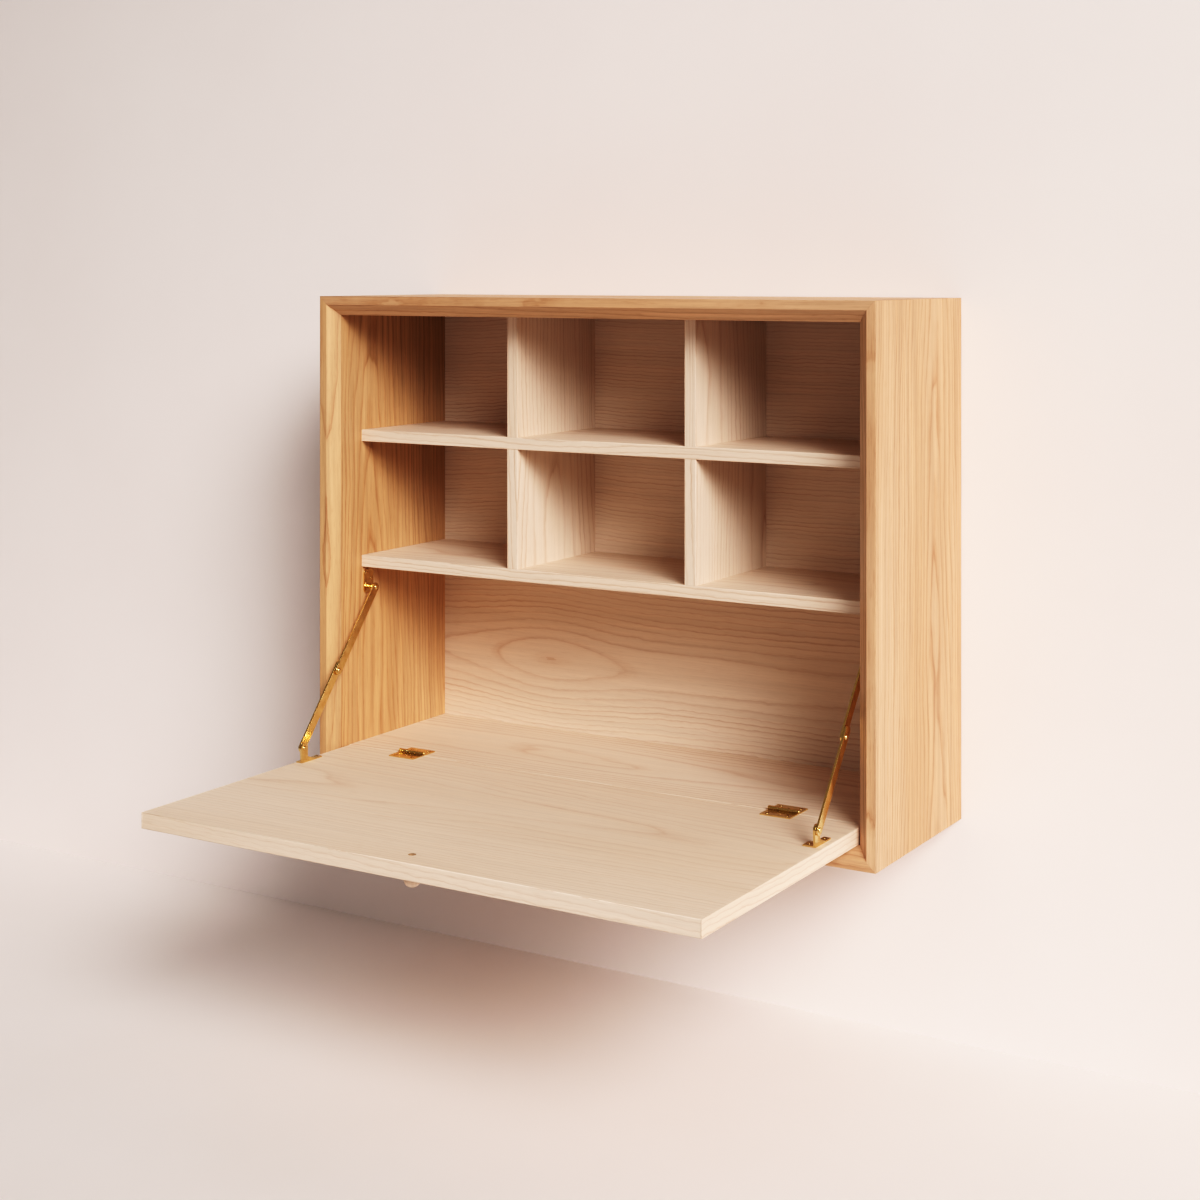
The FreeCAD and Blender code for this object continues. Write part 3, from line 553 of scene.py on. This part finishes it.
def link(name: str, mesh: bpy.types.Mesh) -> bpy.types.Object:
    """Put a mesh into the scene as an object at the origin.

    Args:
        name: The object's name.
        mesh: The mesh, with its place in it.

    Returns:
        The object.
    """
    thing = bpy.data.objects.new(name, mesh)
    bpy.context.scene.collection.objects.link(thing)
    return thing


def plain_mesh(thing: bpy.types.Object) -> None:
    """Turn an object's evaluated modifiers into its own mesh and remove them.

    Args:
        thing: The object.
    """
    evaluated = thing.evaluated_get(bpy.context.evaluated_depsgraph_get())
    mesh = bpy.data.meshes.new_from_object(evaluated)
    thing.modifiers.clear()
    thing.data = mesh
    mesh.name = thing.name


def clean_mesh(shape: bmesh.types.BMesh, mesh: bpy.types.Mesh, smooth_below: float,
               shortest: float = 2e-6) -> None:
    """Write a shape into a mesh without slivers, and shade it smooth between its sharp edges.

    Args:
        shape: The shape, which is freed.
        mesh: The mesh that takes it.
        smooth_below: Angle between two faces up to which they are shaded as one.
        shortest: Length under which an edge is closed.
    """
    bmesh.ops.remove_doubles(shape, verts=shape.verts[:], dist=shortest)
    bmesh.ops.dissolve_degenerate(shape, dist=shortest, edges=shape.edges[:])
    for face in shape.faces:
        face.smooth = True
    shape.to_mesh(mesh)
    shape.free()
    mesh.set_sharp_from_angle(angle=smooth_below)


def welded(node: str) -> bmesh.types.BMesh:
    """Copy the mesh of a CAD node with its loose triangles joined.

    Args:
        node: Name of the node.

    Returns:
        The shape.
    """
    shape = bmesh.new()
    shape.from_mesh(frame["nodes"][node].data)
    bmesh.ops.remove_doubles(shape, verts=shape.verts[:], dist=WELD)
    return shape


@dataclass(frozen=True)
class Easing:
    """How far the sharp edges of a piece are worn or sanded round."""

    width: float
    shortest_edge: float = 0.0
    steps: int = 3
    sharp_from: float = math.radians(30)
    flat_within: float = math.radians(0.4)
    smooth_below: float = math.radians(50)

    def apply(self, node: str, material: bpy.types.Material) -> bpy.types.Object:
        """Make a piece from a CAD node, with its edges eased, to stand for that node.

        Args:
            node: Name of the node.
            material: What the piece is made of.

        Returns:
            The piece.
        """
        shape = welded(node)
        bmesh.ops.dissolve_limit(shape, angle_limit=self.flat_within, verts=shape.verts[:],
                                 edges=shape.edges[:])
        bmesh.ops.bevel(shape, geom=[edge for edge in shape.edges if self._is_sharp(edge)], offset=self.width,
                        offset_type="OFFSET", segments=self.steps, profile=0.5, affect="EDGES",
                        clamp_overlap=True)
        mesh = bpy.data.meshes.new(f"{node}_eased")
        clean_mesh(shape, mesh, self.smooth_below)
        mesh.materials.clear()
        mesh.materials.append(material)
        piece = link(f"{node}_eased", mesh)
        shading = piece.modifiers.new("even_shading", "WEIGHTED_NORMAL")
        shading.keep_sharp = True
        plain_mesh(piece)
        return settle(piece, node)

    def _is_sharp(self, edge: bmesh.types.BMEdge) -> bool:
        """Tell whether an edge is long and sharp enough to be eased.

        Args:
            edge: The edge.

        Returns:
            True where it is eased.
        """
        if len(edge.link_faces) != 2 or edge.calc_length() < self.shortest_edge:
            return False
        return edge.calc_face_angle() > self.sharp_from


BOARD_EDGES = Easing(0.0006, shortest_edge=0.006)
METAL_EDGES = Easing(0.0004)


@dataclass(frozen=True)
class Board:
    """One board of the cabinet and the log that it was sawn from."""

    node: str
    timber: Timber
    log: Log

    def build(self, easing: Easing = BOARD_EDGES) -> bpy.types.Object:
        """Make the board with eased edges."""
        return easing.apply(self.node, self.timber.material(self.node, self.log))

    def keep(self) -> None:
        """Dress the board's CAD node where it has no edges to show."""
        dress(self.node, self.timber.material(self.node, self.log))


@dataclass
class Case:
    """The mitred outer case."""

    heart_away: float = 0.035
    heart_aside: float = 0.06
    ring_step: float = 0.0085
    side_heart_height: float = 0.1
    side_seed: float = 1.7
    side_seed_step: float = 2.3
    side_taper: float = 0.03
    side_drift: float = 0.012
    side_flame: float = 0.005
    level_heart_across: float = 0.2
    level_seed: float = 6.4
    level_seed_step: float = 2.1
    level_ring_share: float = 0.8
    level_flame: float = 0.003

    def build(self) -> None:
        """Make the four panels."""
        for number, (word, side) in enumerate(SIDES.items()):
            middle = middle_of(f"{word}_side_panel")
            aside = middle.y + side * self.heart_aside
            heart = (middle.x - self.heart_away, aside, side * self.side_heart_height)
            log = Log(Grain.ALONG_Z, heart, self.side_seed + self.side_seed_step * number, self.ring_step,
                      taper=self.side_taper, drift=self.side_drift, flame=self.side_flame)
            # The left panel takes the shaded copy of the honey wood: painted shade.
            Board(f"{word}_side_panel", SHADED_HONEY if side < 0 else HONEY, log).build()
        for number, word in enumerate(("top", "bottom")):
            middle = middle_of(f"{word}_panel")
            heart = (self.level_heart_across, middle.y + self.heart_aside, middle.z + self.heart_away)
            log = Log(Grain.ALONG_X, heart, self.level_seed + self.level_seed_step * number,
                      self.level_ring_share * self.ring_step, flame=self.level_flame)
            Board(f"{word}_panel", HONEY, log).build()


@dataclass
class Inside:
    """Back panel, floor board, shelves and dividers."""

    heart_away: float = 0.16
    heart_step: float = 0.1
    back_heart_away: float = 0.1016
    back_figure: Pair = (-0.235, -0.205)
    back_seed: float = 0.2
    back_ring_step: float = 0.0054
    back_taper: float = -0.008
    back_swell: float = 0.014
    back_drift: float = 0.005
    shelf_seed: float = 1.3
    shelf_seed_step: float = 1.9
    divider_seed: float = 9.0
    divider_seed_step: float = 1.4

    def build(self) -> None:
        """Make the boards inside the case."""
        across, height = self.back_figure
        heart = (across, middle_of("back_panel").y + self.back_heart_away, height)
        log = Log(Grain.ALONG_X, heart, self.back_seed, self.back_ring_step, taper=self.back_taper,
                  swell=self.back_swell, drift=self.back_drift, flame=0.0, width=(0.0, 0.0, 1.0))
        Board("back_panel", PALE, log).keep()
        for number, node in enumerate(("floor_board", "middle_shelf", "lower_shelf")):
            middle = middle_of(node)
            heart = (self.heart_step * number, middle.y, middle.z - self.heart_away)
            log = Log(Grain.ALONG_X, heart, self.shelf_seed + self.shelf_seed_step * number)
            Board(node, PALE, log).build()
        dividers = [f"{row}_{word}_divider" for row in ("upper", "lower") for word in SIDES]
        for number, node in enumerate(dividers):
            middle = middle_of(node)
            aside = self.heart_step * (number - len(dividers) / 2)
            heart = (middle.x - self.heart_away, middle.y + aside, middle.z)
            log = Log(Grain.ALONG_Z, heart, self.divider_seed + self.divider_seed_step * number)
            Board(node, PALE, log).build()


@dataclass
class HangingStrips:
    """The strips, dowels and tongues that join the case and hang it on the wall."""

    heart_away: float = 0.1
    strip_seed: float = 20.0
    spline_seed: float = 3.1
    dowel_seed: float = 5.3

    def build(self) -> None:
        """Make the strips behind the back panel, and dress the joints that the case hides."""
        for number, node in enumerate(("hanging_cleat", "wall_cleat", "wall_batten")):
            heart = middle_of(node) + Vector((0.0, self.heart_away, self.heart_away))
            Board(node, STRIP, Log(Grain.ALONG_X, tuple(heart), self.strip_seed + number)).build()
        Board("corner_splines", STRIP, Log(Grain.ALONG_Y, (0.0, 0.0, 0.0), self.spline_seed)).keep()
        Board("cleat_dowels", STRIP, Log(Grain.ALONG_X, (0.0, 0.0, 0.0), self.dowel_seed)).keep()


@dataclass
class DeskLeaf:
    """The folding leaf, its end bands and its knob."""

    heart_away: float = 0.25
    heart_across: float = -0.6
    heart_aside: float = 0.05
    seed: float = 7.7
    ring_step: float = 0.0055
    taper: float = 0.02
    drift: float = 0.006
    clarity: float = 0.6
    band_seed: float = 3.3
    band_ring_step: float = 0.005
    knob_heart_away: float = 0.1
    knob_seed: float = 2.2
    knob_ring_step: float = 0.004
    knob_clarity: float = 0.5
    knob_easing: Easing = Easing(0.0004)
    bore_radius: float = 0.0053
    bore_below: float = 1e-5

    def build(self) -> None:
        """Make the leaf, the bands and the knob."""
        middle = middle_of("desk_leaf")
        heart = (self.heart_across, middle.y + self.heart_aside, middle.z - self.heart_away)
        log = Log(Grain.ALONG_X, heart, self.seed, self.ring_step, self.taper, drift=self.drift,
                  clarity=self.clarity)
        # The wall of the knob screw's bore gets a darker wood: painted shade.
        self._paint_bore_shade(Board("desk_leaf", PALE, log).build(), log)
        for word, side in SIDES.items():
            end = middle_of(f"{word}_edge_band")
            heart = (end.x - side * self.heart_away, end.y, end.z - self.heart_away)
            log = Log(Grain.ALONG_Y, heart, self.band_seed + side, self.band_ring_step, width=(0.0, 0.0, 1.0))
            Board(f"{word}_edge_band", PALE, log).build()
        knob = middle_of("knob")
        heart = (knob.x + self.knob_heart_away, knob.y + self.knob_heart_away, knob.z)
        log = Log(Grain.ALONG_Z, heart, self.knob_seed, self.knob_ring_step, clarity=self.knob_clarity)
        Board("knob", PALE, log).build(self.knob_easing)

    def _paint_bore_shade(self, leaf: bpy.types.Object, log: Log) -> None:
        """Give the wall of the bore round the knob's screw a darker wood, as painted shade inside the hole.

        Args:
            leaf: The leaf's piece.
            log: How the leaf lies in its log.
        """
        screw = middle_of("knob_screw")
        top = max(corner[2] for corner in leaf.bound_box)
        bore_shade_slot = len(leaf.data.materials)
        # The darker wood paints the shade inside the bore.
        leaf.data.materials.append(BORE_SHADE.material("counterbore", log))
        for face in leaf.data.polygons:
            aside = (face.center - screw).to_2d().length
            if aside < self.bore_radius and face.center.z < top - self.bore_below:
                face.material_index = bore_shade_slot


class FastenerTree:
    """A Geometry Nodes tree that puts one fastener on every point, turned to face along its attribute.

    A fastener is built head up on the ground plane. Its solids overlap a little, so that they join cleanly.
    """

    FACING = "facing"
    SEED = 7
    RIM = 0.0001
    OVERLAP = 0.00005
    ROUND = 32
    RINGS = 20
    CUTTER = 1.0
    SMOOTH_BELOW = math.radians(35)

    def __init__(self, name: str, sizes: Iterable[str]) -> None:
        """Start the tree with its named inputs.

        Args:
            name: The tree's name.
            sizes: Names of the size inputs.
        """
        self.tree = bpy.data.node_groups.new(name, "GeometryNodeTree")
        face = self.tree.interface
        face.new_socket("Points", in_out="INPUT", socket_type="NodeSocketGeometry")
        for size in sizes:
            face.new_socket(size, in_out="INPUT", socket_type="NodeSocketFloat")
        face.new_socket("Metal", in_out="INPUT", socket_type="NodeSocketMaterial")
        face.new_socket("Fasteners", in_out="OUTPUT", socket_type="NodeSocketGeometry")
        self.bench = Bench(self.tree)
        self.inputs = self.bench.add("NodeGroupInput").outputs

    def transform(self, mesh: Socket, shift: dict[int, Feed] | None = None,
                  scale: Feed = (1.0, 1.0, 1.0)) -> Socket:
        """Move and scale a mesh.

        Args:
            mesh: The mesh's socket.
            shift: Axis number to distance.
            scale: Scale, as numbers or a vector socket.

        Returns:
            The moved mesh's socket.
        """
        away = self.bench.add("ShaderNodeCombineXYZ", shift or {}).outputs[0]
        inputs = {"Geometry": mesh, "Translation": away, "Scale": scale}
        return self.bench.add("GeometryNodeTransform", inputs).outputs[0]

    def combine(self, operation: str, first: Socket, others: Iterable[Socket]) -> Socket:
        """Join or cut closed meshes.

        Args:
            operation: UNION or DIFFERENCE.
            first: The first mesh's socket, which DIFFERENCE cuts.
            others: The other meshes' sockets.

        Returns:
            The result's socket.
        """
        node = self.bench.add("GeometryNodeMeshBoolean", operation=operation, solver="EXACT")
        if operation == "DIFFERENCE":
            self.tree.links.new(first, node.inputs["Mesh 1"])
        else:
            others = [first, *others]
        for mesh in others:
            self.tree.links.new(mesh, node.inputs["Mesh 2"])
        return node.outputs["Mesh"]

    def crown(self, radius: Feed, height: Feed) -> Socket:
        """A low dome that stands on the ground plane, with a rim that reaches a little under it.

        Args:
            radius: Radius of its foot.
            height: Height of its top.

        Returns:
            The mesh's socket.
        """
        whole = {"Segments": self.ROUND, "Rings": self.RINGS, "Radius": 1.0}
        ball = self.bench.add("GeometryNodeMeshUVSphere", whole).outputs[0]
        scale = self.bench.add("ShaderNodeCombineXYZ", {0: radius, 1: radius, 2: height}).outputs[0]
        ball = self.transform(ball, scale=scale)
        cutter = self.bench.add("GeometryNodeMeshCube", {"Size": (self.CUTTER, self.CUTTER, self.CUTTER)})
        lowered = self.transform(cutter.outputs[0], {2: -self.CUTTER / 2 - self.RIM})
        return self.combine("DIFFERENCE", ball, [lowered])

    def shank(self, radius: Feed, top: Feed, length: Feed) -> Socket:
        """A pin that hangs down from near the ground plane.

        Args:
            radius: Its radius.
            top: Height of its upper end.
            length: How far it reaches under the ground plane.

        Returns:
            The mesh's socket.
        """
        inputs = {"Vertices": self.ROUND, "Radius": radius, "Depth": self.bench.math("ADD", length, top)}
        pin = self.bench.add("GeometryNodeMeshCylinder", inputs).outputs[0]
        middle = self.bench.math("MULTIPLY", self.bench.math("SUBTRACT", top, length), 0.5)
        return self.transform(pin, {2: middle})

    def finish(self, fastener: Socket) -> None:
        """Set the fastener on the points, each with its own spin, and close the tree.

        Args:
            fastener: The fastener's socket, head up.
        """
        bench = self.bench
        facing = bench.add("GeometryNodeInputNamedAttribute", {"Name": self.FACING}, data_type="FLOAT_VECTOR")
        aligned = bench.add("FunctionNodeAlignRotationToVector", {"Vector": facing.outputs[0]}, axis="Z")
        chance = bench.add("FunctionNodeRandomValue", {"Seed": self.SEED}, data_type="FLOAT")
        for socket in chance.inputs:
            if socket.enabled and socket.name == "Max":
                socket.default_value = math.pi
        angle = next(socket for socket in chance.outputs if socket.enabled)
        spin = bench.add("ShaderNodeCombineXYZ", {2: angle}).outputs[0]
        spin = bench.add("FunctionNodeEulerToRotation", {0: spin}).outputs[0]
        turned = bench.add("FunctionNodeRotateRotation", {"Rotation": aligned.outputs[0], "Rotate By": spin},
                           rotation_space="LOCAL").outputs[0]
        spread = bench.add("GeometryNodeInstanceOnPoints", {
            "Points": self.inputs["Points"], "Instance": fastener, "Rotation": turned,
        }).outputs[0]
        real = bench.add("GeometryNodeRealizeInstances", {"Geometry": spread}).outputs[0]
        coloured = bench.add("GeometryNodeSetMaterial", {"Geometry": real, "Material": self.inputs["Metal"]})
        bench.add("NodeGroupOutput", {"Fasteners": coloured.outputs[0]})

    def place(self, name: str, points: list[tuple[Vector, Facing]], metal: bpy.types.Material,
              sizes: dict[str, float]) -> bpy.types.Object:
        """Make one mesh with a fastener on each point.

        Args:
            name: The piece's name.
            points: Foot of each head and the way it faces.
            metal: What the fasteners are made of.
            sizes: Input name to size.

        Returns:
            The piece.
        """
        mesh = bpy.data.meshes.new(name)
        mesh.from_pydata([spot for spot, _ in points], [], [])
        facing = mesh.attributes.new(self.FACING, "FLOAT_VECTOR", "POINT")
        for datum, (_, way) in zip(facing.data, points):
            datum.vector = way.vector
        piece = link(name, mesh)
        modifier = piece.modifiers.new("fasteners", "NODES")
        modifier.node_group = self.tree
        given = {**sizes, "Metal": metal}
        for item in self.tree.interface.items_tree:
            if item.in_out == "INPUT" and item.name in given:
                modifier[item.identifier] = given[item.name]
        plain_mesh(piece)
        shape = bmesh.new()
        shape.from_mesh(piece.data)
        clean_mesh(shape, piece.data, self.SMOOTH_BELOW)
        return piece


class ScrewTree(FastenerTree):
    """Countersunk wood screws with a low raised head, slotted down to its foot."""

    SIZES = ("Head Radius", "Head Height", "Crown", "Shank Radius", "Length", "Slot Width")
    TAPER = 0.95
    NECK = -0.5
    SLOT_REACH = 3.0

    def __init__(self) -> None:
        """Build the tree."""
        super().__init__("slotted_screws", self.SIZES)
        given, bench = self.inputs, self.bench
        crown = self.crown(given["Head Radius"], given["Crown"])
        cone = bench.add("GeometryNodeMeshCone", {
            "Vertices": self.ROUND, "Depth": given["Head Height"],
            "Radius Top": bench.math("MULTIPLY", given["Head Radius"], self.TAPER),
            "Radius Bottom": bench.math("MULTIPLY", given["Shank Radius"], self.TAPER),
        }).outputs[0]
        cone = self.transform(cone, {2: bench.math("SUBTRACT", self.OVERLAP, given["Head Height"])})
        neck = bench.math("MULTIPLY", given["Head Height"], self.NECK)
        shank = self.shank(given["Shank Radius"], neck, given["Length"])
        whole = self.combine("UNION", crown, [cone, shank])
        slot_size = bench.add("ShaderNodeCombineXYZ", {
            0: bench.math("MULTIPLY", given["Head Radius"], self.SLOT_REACH), 1: given["Slot Width"],
            2: bench.math("MULTIPLY", given["Crown"], 2.0),
        }).outputs[0]
        slot = bench.add("GeometryNodeMeshCube", {"Size": slot_size}).outputs[0]
        slot = self.transform(slot, {2: given["Crown"]})
        self.finish(self.combine("DIFFERENCE", whole, [slot]))


class RivetTree(FastenerTree):
    """Rivets with a domed head."""

    SIZES = ("Head Radius", "Head Height", "Shank Radius", "Length")

    def __init__(self) -> None:
        """Build the tree."""
        super().__init__("domed_rivets", self.SIZES)
        given = self.inputs
        crown = self.crown(given["Head Radius"], given["Head Height"])
        shank = self.shank(given["Shank Radius"], self.OVERLAP, given["Length"])
        self.finish(self.combine("UNION", crown, [shank]))


def solids(node: str) -> list[Box]:
    """Find the boxes of the separate solids of a CAD node.

    Args:
        node: Name of the node.

    Returns:
        Lowest and highest corner of each solid.
    """
    shape = welded(node)
    boxes, seen = [], set()
    for start in shape.verts:
        if start in seen:
            continue
        island, queue = [], [start]
        seen.add(start)
        while queue:
            vertex = queue.pop()
            island.append(vertex.co.copy())
            for edge in vertex.link_edges:
                other = edge.other_vert(vertex)
                if other not in seen:
                    seen.add(other)
                    queue.append(other)
        boxes.append((Vector(map(min, *island)), Vector(map(max, *island))))
    shape.free()
    return boxes


def face_middle(box: Box, way: Facing) -> Vector:
    """Find the middle of the side of a box that looks a given way.

    Args:
        box: Lowest and highest corner.
        way: Which way the side looks.

    Returns:
        The middle of that side.
    """
    low, high = box
    half = (high - low) / 2
    return (low + high) / 2 + Vector(half[axis] * way.vector[axis] for axis in range(3))


@dataclass(frozen=True)
class ScrewSizes:
    """Sizes of one sort of screw. A sunk one ends level with its CAD solid, and the others stand proud."""

    crown: float
    head_height: float
    shank_radius: float
    slot_width: float
    sunk: bool = False


@dataclass
class Screws:
    """The screws of the hinges, the stays and the case."""

    small: ScrewSizes = ScrewSizes(crown=0.0009, head_height=0.0015, shank_radius=0.0014, slot_width=0.0008)
    lock: ScrewSizes = ScrewSizes(crown=0.0003, head_height=0.003, shank_radius=0.002, slot_width=0.0016,
                                  sunk=True)

    def build(self, brass: bpy.types.Material, steel: bpy.types.Material) -> None:
        """Make one mesh of screws for each set.

        Args:
            brass: Metal of the screws of hinges and stays.
            steel: Metal of the screws under the case.
        """
        tree = ScrewTree()
        for node in ("hinge_floor_screws", "hinge_leaf_screws", "stay_leaf_screws"):
            self._set(tree, node, brass, self.small, [(box, Facing.UP) for box in solids(node)])
        inward = [(box, Facing.RIGHT if box[0].x < 0 else Facing.LEFT) for box in solids("stay_wall_screws")]
        self._set(tree, "stay_wall_screws", brass, self.small, inward)
        down = [(box, Facing.DOWN) for box in solids("lock_screws")]
        self._set(tree, "lock_screws", steel, self.lock, down)

    def _set(self, tree: ScrewTree, node: str, metal: bpy.types.Material, sort: ScrewSizes,
             boxes: list[tuple[Box, Facing]]) -> None:
        """Make the screws of one node.

        Args:
            tree: The screw tree.
            node: Name of the node.
            metal: What the screws are made of.
            sort: Their sizes.
            boxes: Box of each screw and the way it faces.
        """
        (low, high), way = boxes[0]
        extent = high - low
        sizes = {
            "Head Radius": min(extent) / 2, "Head Height": sort.head_height, "Crown": sort.crown,
            "Shank Radius": sort.shank_radius, "Length": abs(extent.dot(way.vector)),
            "Slot Width": sort.slot_width,
        }
        depth = sort.crown if sort.sunk else 0.0
        points = [(face_middle(box, facing) - facing.vector * depth, facing) for box, facing in boxes]
        settle(tree.place(f"{node}_slotted", points, metal, sizes), node)


@dataclass
class Hinges:
    """The two surface hinges and their pins."""

    easing: Easing = METAL_EDGES

    def build(self, brass: bpy.types.Material) -> None:
        """Make the plates and pins.

        Args:
            brass: What they are made of.
        """
        for word in SIDES:
            for part in ("floor_plate", "leaf_plate", "pin"):
                self.easing.apply(f"{word}_hinge_{part}", brass)


@dataclass
class Stays:
    """The two folding stays with their brackets and rivets."""

    easing: Easing = METAL_EDGES
    rivet_head_height: float = 0.0022
    rivet_shank_radius: float = 0.0025

    def build(self, brass: bpy.types.Material) -> None:
        """Make the brackets, arms and rivets.

        Args:
            brass: What they are made of.
        """
        tree = RivetTree()
        for word, side in SIDES.items():
            inward, outward = Facing.RIGHT, Facing.LEFT
            if side > 0:
                inward, outward = outward, inward
            for part in ("wall_bracket", "upper_arm", "lower_arm", "leaf_bracket"):
                self.easing.apply(f"{word}_stay_{part}", brass)
            rivets = {
                "upper_rivet": [inward], "middle_rivet_inner": [inward], "middle_rivet_outer": [outward],
                "lower_rivet": [inward, outward],
            }
            for part, heads in rivets.items():
                self._rivet(tree, f"{word}_stay_{part}", heads, brass)

    def _rivet(self, tree: RivetTree, node: str, heads: list[Facing], brass: bpy.types.Material) -> None:
        """Make one rivet with the heads that it has.

        Args:
            tree: The rivet tree.
            node: Name of the node.
            heads: Which way each head faces.
            brass: What the rivet is made of.
        """
        low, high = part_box(node)
        shank = high.x - low.x - self.rivet_head_height * len(heads)
        points = [(face_middle((low, high), way) - way.vector * self.rivet_head_height, way) for way in heads]
        sizes = {
            "Head Radius": (high.z - low.z) / 2, "Head Height": self.rivet_head_height,
            "Shank Radius": self.rivet_shank_radius, "Length": shank / len(heads),
        }
        settle(tree.place(f"{node}_domed", points, brass, sizes), node)


@dataclass
class Studio:
    """Wall, floor, lights, camera and tone."""

    floor_height: float = -0.692
    wall_gap: float = 0.001
    reach: float = 9.0
    wall_opening: Pair = (0.4585, 0.3695)
    camera_place: Triple = (1.4896, -2.6861, 0.4064)
    camera_turn: float = math.radians(31.279)
    lens: float = 59.62
    sensor: float = 36.0
    shift: float = -0.2725
    key_place: Triple = (4.6, -3.5, 3.1)
    key_target: Triple = (0.6, -0.4, 0.3)
    key_size: float = 4.0
    key_power: float = 70.0
    key_spread: float = math.radians(40)
    key_colour: Triple = (1.0, 0.985, 0.97)
    sky: Triple = (1.0, 0.97, 0.95)
    sky_strength: float = 0.26
    mirrored_sky: Triple = (1.0, 0.78, 0.52)
    tone_curve: int = 3
    tone: tuple[Pair, ...] = (
        (0.0, 0.0), (0.05, 0.018), (0.1, 0.05), (0.2, 0.15), (0.35, 0.33), (0.55, 0.55), (0.8, 0.74),
        (1.05, 0.87), (1.4, 0.97),
    )

    def build(self) -> None:
        """Set up the room, the lights, the camera and the tone."""
        self._room()
        self._lights()
        self._camera()
        self._tone()

    def _room(self) -> None:
        """Make the floor and the wall, both one-sided, with the wall open where the cabinet hides it."""
        far, low, back = self.reach, self.floor_height, self.wall_gap
        wide, high = self.wall_opening
        floor = [(-far, -far, low), (far, -far, low), (far, back, low), (-far, back, low)]
        outline = [(-far, back, low), (far, back, low), (far, back, far), (-far, back, far)]
        opening = [(-wide, back, -high), (wide, back, -high), (wide, back, high), (-wide, back, high)]
        planes = {
            "floor": (FLOOR, floor, [(0, 1, 2, 3)]),
            "wall": (WALL, outline + opening, [(0, 1, 5, 4), (1, 2, 6, 5), (2, 3, 7, 6), (3, 0, 4, 7)]),
        }
        for name, (finish, corners, faces) in planes.items():
            mesh = bpy.data.meshes.new(name)
            mesh.from_pydata(corners, [], faces)
            mesh.materials.append(finish.material())
            link(name, mesh)

    def _lights(self) -> None:
        """Add the soft key light and the even light of the room, which the brass mirrors warmer."""
        lamp = bpy.data.lights.new("key", "AREA")
        lamp.shape = "SQUARE"
        lamp.size = self.key_size
        lamp.energy = self.key_power
        lamp.spread = self.key_spread
        lamp.color = self.key_colour
        key = bpy.data.objects.new("key", lamp)
        key.location = self.key_place
        aim = Vector(self.key_target) - Vector(self.key_place)
        key.rotation_euler = aim.to_track_quat("-Z", "Y").to_euler()
        key.visible_camera = False
        bpy.context.scene.collection.objects.link(key)
        world = bpy.data.worlds.new("room_light")
        world.use_nodes = True
        bench = Bench(world.node_tree)
        mirrored = bench.add("ShaderNodeLightPath").outputs["Is Glossy Ray"]
        colour = bench.mix(mirrored, (*self.sky, 1.0), (*self.mirrored_sky, 1.0))
        room = bench.add("ShaderNodeBackground", {"Color": colour, "Strength": self.sky_strength})
        bench.add("ShaderNodeOutputWorld", {"Surface": room.outputs[0]})
        bpy.context.scene.world = world

    def _camera(self) -> None:
        """Stand a level camera where the photograph was taken from."""
        lens = bpy.data.cameras.new("camera")
        lens.lens = self.lens
        lens.sensor_width = self.sensor
        lens.shift_y = self.shift
        camera = bpy.data.objects.new("camera", lens)
        camera.location = self.camera_place
        camera.rotation_euler = Euler((math.pi / 2, 0.0, self.camera_turn))
        bpy.context.scene.collection.objects.link(camera)
        bpy.context.scene.camera = camera

    def _tone(self) -> None:
        """Deepen the shade and hold back the highlights as the photograph does."""
        view = bpy.context.scene.view_settings
        view.view_transform = "Standard"
        view.use_curve_mapping = True
        curve = view.curve_mapping.curves[self.tone_curve]
        view.curve_mapping.clip_max_x = self.tone[-1][0]
        ends = (curve.points[0], curve.points[-1])
        for point, place in zip(ends, (self.tone[0], self.tone[-1])):
            point.location = place
        for place in self.tone[1:-1]:
            curve.points.new(*place)
        view.curve_mapping.update()


def main() -> None:
    """Build the desk and the studio around it."""
    logging.basicConfig(level=logging.INFO, format="%(message)s")
    brass, steel = BRASS.material(), STEEL.material()
    Case().build()
    Inside().build()
    HangingStrips().build()
    DeskLeaf().build()
    Hinges().build(brass)
    Stays().build(brass)
    Screws().build(brass, steel)
    dress("knob_screw", brass)
    Studio().build()


if __name__ == "__main__":
    main()
